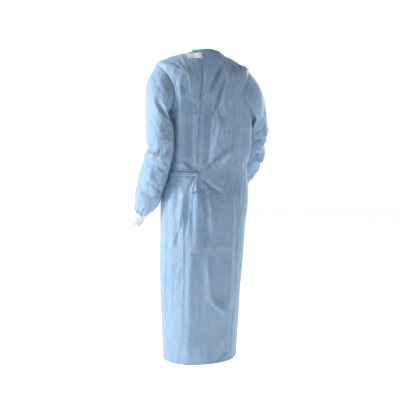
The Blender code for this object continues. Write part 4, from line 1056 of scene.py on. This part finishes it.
# Cuffs: white rib-knitted tubes, sewn on over the gathered sleeve ends and drawn in a
# little at the middle. Each rib is a rounded column that runs down the tube.
CUFF_LENGTH = 0.062
CUFF_RADII = (0.0285, 0.0262, 0.0270)
CUFF_RIBS = 28
CUFF_RIB = 0.0007
CUFF_WALL = 0.0018
CUFF_STEPS = 6
CUFF_RINGS = 44
CUFF_ROUNDING = 0.0007
CUFF_ROUNDED = 0.0014
# White of the yarn, and the grey of the painted shade between the ribs
KNIT_WHITE = (0.83, 0.84, 0.84)
KNIT_HOLLOW_SHADE = (0.60, 0.63, 0.65)
KNIT_COURSE = 1150.0


def cuff(side):
    """A straight tube on from the sleeve's end, its wall rounded over at both ends."""
    last = len(SLEEVES[side]) - 1.0
    along, out, back = sleeve_axes(side, last - 0.01)
    start = sleeve_middle(side, last) + SEAM_GAP * along
    turn = np.linspace(0, 2 * pi, CUFF_STEPS * CUFF_RIBS, endpoint=False)
    share = np.linspace(0, 1, CUFF_RINGS)[:, None]
    middle = start + CUFF_LENGTH * share[..., None] * along
    round_cuff = np.cos(turn)[:, None] * out + np.sin(turn)[:, None] * back
    radius = smooth_curve(share, np.linspace(0, 1, len(CUFF_RADII)), CUFF_RADII)
    end = np.minimum(share, 1 - share) * CUFF_LENGTH
    rounded = CUFF_ROUNDING * (1 - ease(end / CUFF_ROUNDED))
    soft = 0.0004 * np.cos(3 * turn + 5 * share) + 0.0003 * np.cos(5 * turn - 9 * share)
    reach = radius + CUFF_RIB * np.cos(CUFF_RIBS * turn) + soft - rounded
    outer = middle + reach[..., None] * round_cuff
    inner = middle + (radius - CUFF_WALL + soft + rounded)[..., None] * round_cuff
    # Share of painted shade between the ribs, strongest at the bottom of each hollow; it rides in
    # the layers attribute
    hollow = np.broadcast_to(0.5 - 0.5 * np.cos(CUFF_RIBS * turn), reach.shape)
    if side == "right":
        outer, inner, hollow = outer[:, ::-1], inner[:, ::-1], hollow[:, ::-1]
    return shell(side + "_cuff", outer, inner, closed=True, layers=hollow)


def rib_knit():
    """White yarn, greyer between the ribs by painted shade, with fine courses of loops and a soft
    nap.
    """
    n = Nodes("white_rib_knit")
    # The painted shade between the ribs, read from the layers attribute
    hollow = n.add("ShaderNodeAttribute", attribute_name="layers").outputs["Fac"]
    yarn = n.noise(KNIT_COURSE, 2.0)
    share = n.maths("MULTIPLY", hollow, n.spread(yarn, 0.3, 0.7, 0.35, 0.8))
    n.join(n.mix(share, KNIT_WHITE, KNIT_HOLLOW_SHADE), n.shader.inputs["Base Color"])
    inputs = {"Vector": n.place, "Scale": KNIT_COURSE / 6, "Distortion": 0.6}
    wave = n.add("ShaderNodeTexWave", inputs, bands_direction="Z").outputs["Fac"]
    n.bump(n.maths("ADD", wave, n.maths("MULTIPLY", yarn, 0.6)), 0.0003, 0.6)
    n.set(Roughness=0.9, Sheen_Weight=0.3, Sheen_Roughness=0.5, Specular_IOR_Level=0.2)
    return n.material


knit = rib_knit()
for side in ("left", "right"):
    tube = settle(cuff(side), knit, "knit", "cuff_" + side)


# Neck binding: a teal strip of woven tape, folded over the whole neck edge and stitched. It
# goes once round and on over the left back, and its tail stands up free where that ends.
BINDING = 0.0009
BINDING_DEPTH = 0.0075
BINDING_GAP = 0.0005
TAIL_STEPS = 14
TAIL_ANGLE = 16.0
TAIL_RISE = 0.006
BINDING_ROUND = 5
BINDING_RIPPLE = 0.0002
TEAL = (0.050, 0.420, 0.365)
TEAL_PALE = (0.150, 0.600, 0.520)


def neck_binding():
    """A U section with a rounded top, swept over the neck edge of all three panels."""
    under_top, front_top, outer_top = left_angle[0], front_angle[0], right_angle[0] - 2 * pi
    angle = np.concatenate([under_top[::-1], front_top[-2:0:-1], outer_top[::-1]])
    last = angle[-1]
    tail = last - radians(TAIL_ANGLE) * np.linspace(0, 1, TAIL_STEPS + 1)[1:]
    angle = np.concatenate([angle, tail])
    top, low = np.zeros(len(angle)), np.full(len(angle), BINDING_DEPTH)
    up = -unit(body(angle, top + 1e-3) - body(angle, top))
    past = np.clip((last - angle) / radians(TAIL_ANGLE), 0, 1)
    raised = TAIL_RISE * ease(past)
    ripple = BINDING_RIPPLE * np.sin(55 * angle) * np.sin(17 * angle)

    def place(at_top, out, above):
        level = top if at_top else low
        move = out + ripple + np.where(angle < -pi, lift(angle, level), 0.0)
        here = body(angle, level) + move[:, None] * outward(body, angle, level)
        return here + (above + raised)[:, None] * up

    def over(reach):
        """Points of a half round over the edge, from its outer side to its inner one."""
        turns = np.linspace(0, pi, BINDING_ROUND + 2)
        middle, half = -SHELL / 2, SHELL / 2 + reach
        return [place(True, middle + half * np.cos(t), half * np.sin(t)) for t in turns]

    near, far = BINDING_GAP, BINDING_GAP + BINDING
    section = [place(False, far, 0.0), *over(far), place(False, -SHELL - far, 0.0)]
    section += [place(False, -SHELL - near, 0.0), *over(near)[::-1], place(False, near, 0.0)]
    return swept("neck_edge_binding", np.stack(section, axis=1))


def swept(name, rings):
    """A closed solid through rings of points, with both ends filled."""
    count, around = rings.shape[:2]
    index = np.arange(count * around).reshape(count, around)
    following = np.roll(index, -1, axis=1)
    sides = np.stack([index[:-1], following[:-1], following[1:], index[1:]], axis=-1)
    faces = sides.reshape(-1, 4).tolist() + [index[0][::-1].tolist(), index[-1].tolist()]
    return smooth_piece(name, rings.reshape(-1, 3), faces, sharp=45)


def tape(name, dark, pale, scale, roughness):
    """Woven tape: two shades by fine threads, with a low woven relief."""
    n = Nodes(name)
    threads = n.spread(n.noise(scale, 2.0, 0.6), 0.3, 0.7)
    n.join(n.mix(threads, dark, pale), n.shader.inputs["Base Color"])
    n.bump(threads, 0.0002, 0.6)
    n.set(Roughness=roughness, Sheen_Weight=0.3, Sheen_Roughness=0.4, Specular_IOR_Level=0.35)
    return n.material


binding = settle(
    neck_binding(), tape("teal_binding", TEAL, TEAL_PALE, 700.0, 0.6), "binding", "neck_binding"
)


# Neck tab: a strip of white hook and loop tape sewn to the outer panel's corner and pressed
# down on the panel beneath. Its sewn end is folded back on itself and stands a little proud.
TAB_LEFT = 0.088
TAB_RIGHT = 0.030
TAB_TOP = -0.0165
TAB_BOTTOM = -0.0385
TAB_THICKNESS = 0.0014
TAB_OUT = 0.0008
TAB_STEP_START = 0.020
TAB_STEP_RUN = 0.022
TAB_FOLD = 0.0145
TAB_FOLD_RISE = 0.0009
TAB_FOLD_DENT = 0.0003
TAB_TILT = 0.0012
TAB_SLANT = 0.10
TAB_WAVE = 0.0001
TAB_COLUMNS = 74
TAB_ROWS = 30
TAPE_WHITE = (0.80, 0.82, 0.84)
TAPE_GREY = (0.60, 0.65, 0.70)


def on_back(x, height):
    """Angle and way down of the point of the back at a place x and a height."""
    x, height = np.broadcast_arrays(np.asarray(x, float), np.asarray(height, float))
    down = -height
    for _ in range(8):
        angle = angle_of(x, down)
        down = down + body_base(angle, down)[..., 2] - height
    return angle, down


def on_panel(name, x, height, offset, thickness, layers=None):
    """A flat piece lying on the back: a grid of places, moved out, with its thickness."""
    angle, down = on_back(x, height)
    normal = outward(body_base, angle, down)
    inner = body(angle, down) + np.asarray(offset)[..., None] * normal
    outer = inner + np.asarray(thickness)[..., None] * normal
    return shell(name, outer, inner, layers=layers)


def places(left, right, top, bottom, columns, rows):
    """Places x and heights over a rectangle on the back, from the left and the top."""
    return np.meshgrid(np.linspace(left, right, columns), np.linspace(top, bottom, rows))


def neck_tab():
    x, height = places(TAB_LEFT, TAB_RIGHT, TAB_TOP, TAB_BOTTOM, TAB_COLUMNS, TAB_ROWS)
    height = height + TAB_TILT * (x - TAB_RIGHT) / (TAB_LEFT - TAB_RIGHT)
    angle, down = on_back(x, height)
    edge = read(FREE_EDGES, "outer_edge", down)
    over = ease((edge + TAB_STEP_START - x) / TAB_STEP_RUN)
    offset = TAB_OUT + lift(angle, down) * over
    slant = x - TAB_RIGHT - TAB_SLANT * (height - TAB_BOTTOM)
    folded = ease((TAB_FOLD - slant) / 0.0012)
    fold_line = np.exp(-(((slant - TAB_FOLD - 0.0006) / 0.0009) ** 2))
    wavy = TAB_WAVE * np.sin(320 * x + 500 * height)
    thickness = TAB_THICKNESS + TAB_FOLD_RISE * folded - TAB_FOLD_DENT * fold_line + wavy
    return on_panel("neck_tape_tab", x, height, offset, thickness, layers=1 - folded)


def hook_tape():
    """Rows of fine hooks: grey between the rows, brighter on the folded end."""
    n = Nodes("white_hook_tape")
    inputs = {"Vector": n.place, "Scale": 820.0, "Distortion": 1.2}
    rows = n.add("ShaderNodeTexWave", inputs, bands_direction="X").outputs["Fac"]
    hooks = n.spread(n.noise(1500.0, 2.0), 0.35, 0.65)
    open_side = n.add("ShaderNodeAttribute", attribute_name="layers").outputs["Fac"]
    grey = n.maths("MULTIPLY", n.maths("ADD", n.maths("MULTIPLY", rows, 0.5), hooks), open_side)
    grey = n.maths("MULTIPLY", grey, 0.62)
    n.join(n.mix(grey, TAPE_WHITE, TAPE_GREY), n.shader.inputs["Base Color"])
    n.bump(n.maths("MULTIPLY", hooks, open_side), 0.0002, 0.5)
    n.set(Roughness=0.62, Specular_IOR_Level=0.4, Sheen_Weight=0.15)
    return n.material


# Stitches: short threads laid end to end along a line on the cloth, all in one mesh
STITCH = 0.0028
STITCH_GAP = 0.0012
THREAD = 0.00032
STITCH_SIDES = 6
TAB_SEAM_FIRST = 0.0022
TAB_SEAM_SECOND = 0.0118
TAB_SEAM_INSET = 0.0016
TAB_SEAM_OUT = 0.0002
BLUE_THREAD = (0.16, 0.32, 0.62)
WHITE_THREAD = (0.66, 0.69, 0.72)


def thread_run(line, out):
    """Points and faces of stitches along a line: spindles, flat ended and thickest midway.
    Each spindle's ends are two points of the line, and its middle is moved out by a thread."""
    steps = np.linalg.norm(np.diff(line, axis=0), axis=1)
    run = np.concatenate([[0], np.cumsum(steps)])
    starts = np.arange(0.0005, run[-1] - STITCH, STITCH + STITCH_GAP)
    share = np.array([0.0, 0.12, 0.5, 0.88, 1.0])
    girth = np.array([0.35, 0.8, 1.0, 0.8, 0.35]) * THREAD
    at = starts[:, None] + STITCH * share
    middle = np.stack([np.interp(at, run, line[:, k]) for k in range(3)], axis=-1)
    normal = unit(np.stack([np.interp(at, run, out[:, k]) for k in range(3)], axis=-1))
    along = unit(np.gradient(middle, axis=1))
    side = unit(np.cross(along, normal))
    middle = middle + (0.4 * THREAD * np.sin(pi * share))[None, :, None] * normal
    turn = np.linspace(0, 2 * pi, STITCH_SIDES, endpoint=False)
    ring = np.cos(turn)[:, None] * side[:, :, None] + np.sin(turn)[:, None] * normal[:, :, None]
    points = middle[:, :, None] + girth[:, None, None] * ring
    count = len(starts) * len(share) * STITCH_SIDES
    index = np.arange(count).reshape(len(starts), len(share), STITCH_SIDES)
    following = np.roll(index, -1, axis=2)
    corners = [index[:, :-1], following[:, :-1], following[:, 1:], index[:, 1:]]
    quads = np.stack(corners, axis=-1)
    caps = [*index[:, 0, ::-1].tolist(), *index[:, -1].tolist()]
    return points.reshape(-1, 3), quads.reshape(-1, 4).tolist() + caps


def stitches(name, lines, material, slot):
    """One mesh of all the stitches along several lines, each with its normals."""
    points, faces, first = [], [], 0
    for line, out in lines:
        some, these = thread_run(line, out)
        points.append(some)
        faces += [[first + i for i in face] for face in these]
        first += len(some)
    return settle(smooth_piece(name, np.concatenate(points), faces), material, slot)


def line_on_back(x, height, offset):
    """A line of places on the back, moved out, with its normals."""
    angle, down = on_back(x, height)
    normal = outward(body_base, angle, down)
    return body(angle, down) + np.asarray(offset)[..., None] * normal, normal


def thread(name, colour):
    """Twisted sewing thread: one colour, with painted shade in its twists."""
    n = Nodes(name)
    twist = n.noise(2600.0, 1.0)
    # Painted shade: the thread's colour at six tenths, mixed in by fine noise
    dark = tuple(0.6 * c for c in colour)
    n.join(n.mix(twist, dark, colour), n.shader.inputs["Base Color"])
    n.set(Roughness=0.6, Sheen_Weight=0.2)
    return n.material


settle(neck_tab(), hook_tape(), "tape", "neck_tab")
blue_thread = thread("blue_thread", BLUE_THREAD)
white_thread = thread("white_thread", WHITE_THREAD)
tab_lines = []
for seam_x in (TAB_RIGHT + TAB_SEAM_FIRST, TAB_RIGHT + TAB_SEAM_SECOND):
    height = np.linspace(TAB_TOP - TAB_SEAM_INSET, TAB_BOTTOM + TAB_SEAM_INSET, 24)
    x = np.full(len(height), seam_x)
    out = TAB_OUT + lift(*on_back(x, height)) + TAB_THICKNESS + TAB_FOLD_RISE + TAB_SEAM_OUT
    tab_lines.append(line_on_back(x, height, out))
stitches("tab_stitches", tab_lines, white_thread, "tape")


# Belt: a folded band of the gown's own cloth from the left side seam to the knot, narrowed
# and creased where it is pulled into it. It lies on the left back panel.
BELT_TOP = -0.502
BELT_BOTTOM = -0.524
BELT_THICKNESS = 0.0014
BELT_OUT = 0.0007
BELT_END = 0.0765
BELT_END_RISE = 0.0024
BELT_END_RUN = 0.020
BELT_COLUMNS = 90
BELT_ROWS = 26
BELT_DRAWN = 0.0034
BELT_SAG = 0.0006
BELT_RIDGE = 0.0006
BELT_DENT = 0.0005
BELT_PUFF = 0.0007
BELT_STITCHED = (0.088, 0.148)
BELT_STITCH_INSET = 0.0026
KNOT_X = 0.0685
KNOT_HEIGHT = -0.512


def belt():
    """Columns from the side seam to the knot; ridges run lengthways and deepen towards it."""
    down = np.linspace(-BELT_TOP, -BELT_BOTTOM, BELT_ROWS)
    seam = np.radians(read(SIDE_SEAMS, "left_angle", down))
    angle = across(seam, angle_of(np.full(BELT_ROWS, BELT_END), down), BELT_COLUMNS)
    share = np.linspace(0, 1, BELT_COLUMNS)[None, :]
    up = np.linspace(1, -1, BELT_ROWS)[:, None]
    drawn = BELT_DRAWN * ease((share - 0.72) / 0.28)
    ways = down[:, None] + drawn * up + BELT_SAG * np.sin(9 * share) * (1 - share)
    x = body_base(angle, ways)[..., 0]
    offset = BELT_OUT + BELT_END_RISE * ease((BELT_END + BELT_END_RUN - x) / BELT_END_RUN)
    pulled = ease((share - 0.45) / 0.55)
    ridges = BELT_RIDGE * pulled * np.cos(7.5 * up + 2.2 * share)
    fold_line = BELT_DENT * np.exp(-(((up - 0.10 - 0.3 * share) / 0.10) ** 2))
    puffed = BELT_PUFF * (1 - up**2)
    thickness = BELT_THICKNESS + ridges + puffed - fold_line
    normal = outward(body_base, angle, ways)
    inner = body(angle, ways) + offset[..., None] * normal
    # Darker colour along the belt's top and bottom edges: partly their folded double cloth,
    # partly painted shade along those edges
    edge = ease((abs(up) - 0.80) / 0.08) * np.ones(angle.shape)
    return shell("waist_belt", inner + thickness[..., None] * normal, inner, layers=edge)


settle(belt(), cloth, "cloth", "belt")
belt_x = np.linspace(*BELT_STITCHED, 60)
belt_height = np.full(len(belt_x), BELT_BOTTOM + BELT_STITCH_INSET)
belt_low = line_on_back(belt_x, belt_height, np.full(60, BELT_OUT + BELT_THICKNESS + 0.0008))
stitches("belt_stitches", [belt_low], blue_thread, "cloth")


# Tie patch: the end of the tie, of the gown's own nonwoven, doubled over and stitched down
# in a small box on the outer panel, beside the knot.
PATCH_LEFT = 0.0665
PATCH_RIGHT = 0.0510
PATCH_TOP = -0.5035
PATCH_BOTTOM = -0.5205
PATCH_THICKNESS = 0.0014
PATCH_OUT = 0.0007
PATCH_INSET = 0.0022


def tie_patch():
    x, height = places(PATCH_LEFT, PATCH_RIGHT, PATCH_TOP, PATCH_BOTTOM, 24, 24)
    side = np.minimum(PATCH_LEFT - x, x - PATCH_RIGHT)
    end = np.minimum(PATCH_TOP - height, height - PATCH_BOTTOM)
    inset = np.minimum(side, end)
    # Darker along the sewn line, where the patch is pressed in: painted shade in that groove,
    # with the double cloth's deeper colour
    sewn = np.exp(-(((inset - PATCH_INSET) / 0.0009) ** 2))
    thickness = PATCH_THICKNESS + 0.0005 - 0.0007 * sewn
    angle, down = on_back(x, height)
    offset = PATCH_OUT + lift(angle, down)
    return on_panel("tie_end_patch", x, height, offset, thickness, layers=sewn)


def patch_stitches():
    """The box of stitches round the patch."""
    left, right = PATCH_LEFT - PATCH_INSET, PATCH_RIGHT + PATCH_INSET
    top, bottom = PATCH_TOP - PATCH_INSET, PATCH_BOTTOM + PATCH_INSET
    corners = ((left, top), (right, top), (right, bottom), (left, bottom), (left, top))
    lines = []
    for (x0, h0), (x1, h1) in zip(corners, corners[1:]):
        x, height = np.linspace(x0, x1, 12), np.linspace(h0, h1, 12)
        out = PATCH_OUT + lift(*on_back(x, height)) + PATCH_THICKNESS - 0.0001
        lines.append(line_on_back(x, height, out))
    return lines


settle(tie_patch(), cloth, "cloth", "tie_patch")
stitches("patch_stitches", patch_stitches(), blue_thread, "cloth")


# Knot: the nonwoven belt and the tie pulled through each other. It is a lump of three lobes,
# with the folds of the bands winding over it.
KNOT_WIDE = 0.0095
KNOT_TALL = 0.0100
KNOT_DEEP = 0.0050
KNOT_OUT = 0.0048
KNOT_LOBE = 0.13
KNOT_CORE = 0.90
KNOT_BAND = 0.08
KNOT_TURNS = 96
KNOT_RINGS = 60


def belt_knot():
    """A ball between two poles, flattened on the body, with lobes round it and bands that
    wind over it as two sets of rounded ridges."""
    tilt = np.linspace(0, pi, KNOT_RINGS)[1:-1]
    turns, tilts = np.meshgrid(np.linspace(0, 2 * pi, KNOT_TURNS, endpoint=False), tilt)
    bands = abs(np.sin(2.5 * tilts + turns)) ** 0.6 + 0.5 * abs(np.sin(3 * tilts - 2 * turns))
    swell = KNOT_CORE + KNOT_BAND * bands * np.sin(tilts)
    lobe = (1 + KNOT_LOBE * np.sin(tilts) * np.cos(3 * turns + 0.6)) * swell
    reach = lobe * np.sin(tilts)
    x = np.concatenate([[0.0], (reach * np.cos(turns)).ravel(), [0.0]])
    z = np.concatenate([[0.0], (reach * np.sin(turns)).ravel(), [0.0]])
    deep = np.concatenate([[KNOT_CORE], (np.cos(tilts) * swell).ravel(), [-KNOT_CORE]])
    angle, down = on_back(KNOT_X + KNOT_WIDE * x, KNOT_HEIGHT + KNOT_TALL * z)
    offset = KNOT_OUT + KNOT_DEEP * (1 + deep)
    points = body(angle, down) + offset[:, None] * outward(body_base, angle, down)
    ring = np.arange(len(tilt) * KNOT_TURNS).reshape(len(tilt), KNOT_TURNS) + 1
    following = np.roll(ring, -1, axis=1)
    quads = np.stack([ring[:-1], following[:-1], following[1:], ring[1:]], axis=-1)
    top = np.stack([np.zeros_like(ring[0]), following[0], ring[0]], axis=-1)
    end = np.stack([np.full_like(ring[0], len(points) - 1), ring[-1], following[-1]], axis=-1)
    faces = quads.reshape(-1, 4).tolist() + top.tolist() + end.tolist()
    return smooth_piece("belt_knot_tied", points, faces)


settle(belt_knot(), cloth, "cloth", "belt_knot")


# Belt tail: the belt's free end of folded nonwoven. It hangs from the knot, and spreads from
# its pleats to a slanted cut.
BELT_TAIL_THICKNESS = 0.0010
TailRow = namedtuple("TailRow", "left right height out")
BELT_TAIL = (
    TailRow(0.0735, 0.0640, -0.5222, 0.0085),
    TailRow(0.0790, 0.0640, -0.5330, 0.0062),
    TailRow(0.0870, 0.0650, -0.5450, 0.0050),
    TailRow(0.0950, 0.0670, -0.5570, 0.0052),
    TailRow(0.1010, 0.0690, -0.5680, 0.0060),
    TailRow(0.1000, 0.0695, -0.5790, 0.0070),
)
TAIL_COLUMNS = 40
TAIL_ROWS = 54
TAIL_PLEAT = 0.0012
TAIL_POINT = 0.012


def belt_tail():
    """Smooth rows through the table, with pleats that open downwards and a pointed cut."""
    share = np.linspace(0, 1, TAIL_COLUMNS)
    way = np.linspace(0, 1, TAIL_ROWS)[:, None]
    knots = np.linspace(0, 1, len(BELT_TAIL))
    left, right, height, out = (smooth_curve(way, knots, c) for c in zip(*BELT_TAIL))
    x = left + (right - left) * share
    point = TAIL_POINT * (1 - abs(share - 0.25) / 0.75)
    height = height - point * way**2
    pleats = TAIL_PLEAT * way * np.cos(4 * pi * share)
    sharp = 0.0005 * (1 - way) * np.cos(10 * pi * share) + 0.0004 * np.sin(8 * way + 6 * share)
    hem = np.minimum(np.minimum(share, 1 - share) * 0.030, 0.060 * (1 - way))
    # Its edges lie double and show darker: partly their deeper colour, partly painted shade
    layers = 0.5 * ease((0.002 - hem) / 0.001)
    thickness = BELT_TAIL_THICKNESS + 0.0004 * layers
    return on_panel("belt_tail_end", x, height, out + pleats + sharp, thickness, layers=layers)


tail = settle(belt_tail(), cloth, "cloth", "belt_tail")


# Studio: a pale floor, soft light from the left of the picture, and a surround that lights
# the gown's rims most from behind it and that the camera sees as plain white.
CAMERA_TURN = 160.0
CAMERA_FALL = 5.5
CAMERA_DISTANCE = 3.4
CAMERA_HEIGHT = -0.303
CAMERA_LENS = 71.55
CAMERA_SENSOR = 36.0
CAMERA_SHIFT = -0.005
GOWN_MIDDLE = -0.55
SURROUND_BEFORE = 0.08
SURROUND_BEHIND = 0.60
FLOOR_HEIGHT = -1.50
FLOOR_SIZE = 14.0
FLOOR_GLOW = 0.66

towards_camera = np.array([np.sin(radians(CAMERA_TURN)), -np.cos(radians(CAMERA_TURN)), 0.0])
camera = placed("camera", bpy.data.cameras.new("camera"))
camera.location = CAMERA_DISTANCE * towards_camera + np.array([0.0, 0.0, CAMERA_HEIGHT])
camera.rotation_euler = (radians(90 - CAMERA_FALL), 0.0, radians(CAMERA_TURN))
camera.data.lens = CAMERA_LENS
camera.data.sensor_width = CAMERA_SENSOR
camera.data.shift_x = CAMERA_SHIFT
bpy.context.scene.camera = camera


def area_light(name, turn, height, distance, size, power):
    """A square soft light at a turn round the gown, aimed at its middle."""
    light = placed(name, bpy.data.lights.new(name, "AREA"))
    light.data.size, light.data.energy = size, power
    away = np.array([np.sin(radians(turn)), -np.cos(radians(turn)), 0.0]) * distance
    away[2] = height
    light.location = np.array([0.0, 0.0, GOWN_MIDDLE]) + away
    tilt = np.arccos(away[2] / np.linalg.norm(away))
    light.rotation_euler = (tilt, 0.0, np.arctan2(away[0], -away[1]))


area_light("key_light", turn=88.0, height=1.3, distance=3.0, size=0.9, power=102.0)
area_light("edge_light", turn=-62.0, height=0.8, distance=3.2, size=1.6, power=42.0)

world = bpy.data.worlds.new("studio")
bpy.context.scene.world = world
world.use_nodes = True
tree = world.node_tree
background = tree.nodes["Background"]
background.inputs["Color"].default_value = (1.0, 1.0, 1.0, 1.0)
direction = tree.nodes.new("ShaderNodeTexCoord").outputs["Generated"]
behind = tree.nodes.new("ShaderNodeVectorMath")
behind.operation = "DOT_PRODUCT"
behind.inputs[1].default_value = tuple(-towards_camera)
tree.links.new(direction, behind.inputs[0])
strength = tree.nodes.new("ShaderNodeMapRange")
strength.inputs["From Min"].default_value = -1.0
strength.inputs["From Max"].default_value = 1.0
strength.inputs["To Min"].default_value = SURROUND_BEFORE
strength.inputs["To Max"].default_value = SURROUND_BEHIND
tree.links.new(behind.outputs["Value"], strength.inputs["Value"])
seen = tree.nodes.new("ShaderNodeLightPath").outputs["Is Camera Ray"]
white = tree.nodes.new("ShaderNodeMix")
tree.links.new(seen, white.inputs[0])
tree.links.new(strength.outputs[0], white.inputs[2])
white.inputs[3].default_value = 1.0
tree.links.new(white.outputs[0], background.inputs["Strength"])

half = FLOOR_SIZE / 2
floor_mesh = bpy.data.meshes.new("floor")
corners = [(-half, -half, FLOOR_HEIGHT), (half, -half, FLOOR_HEIGHT)]
corners += [(half, half, FLOOR_HEIGHT), (-half, half, FLOOR_HEIGHT)]
floor_mesh.from_pydata(corners, [], [(0, 1, 2, 3)])
floor = placed("floor", floor_mesh)
paint = Nodes("pale_floor")
paint.set(Base_Color=(0.9, 0.9, 0.9, 1.0), Roughness=0.9, Emission_Color=(1.0, 1.0, 1.0, 1.0))
paint.set(Emission_Strength=FLOOR_GLOW)
floor_mesh.materials.append(paint.material)
bpy.context.scene.view_settings.view_transform = "Standard"
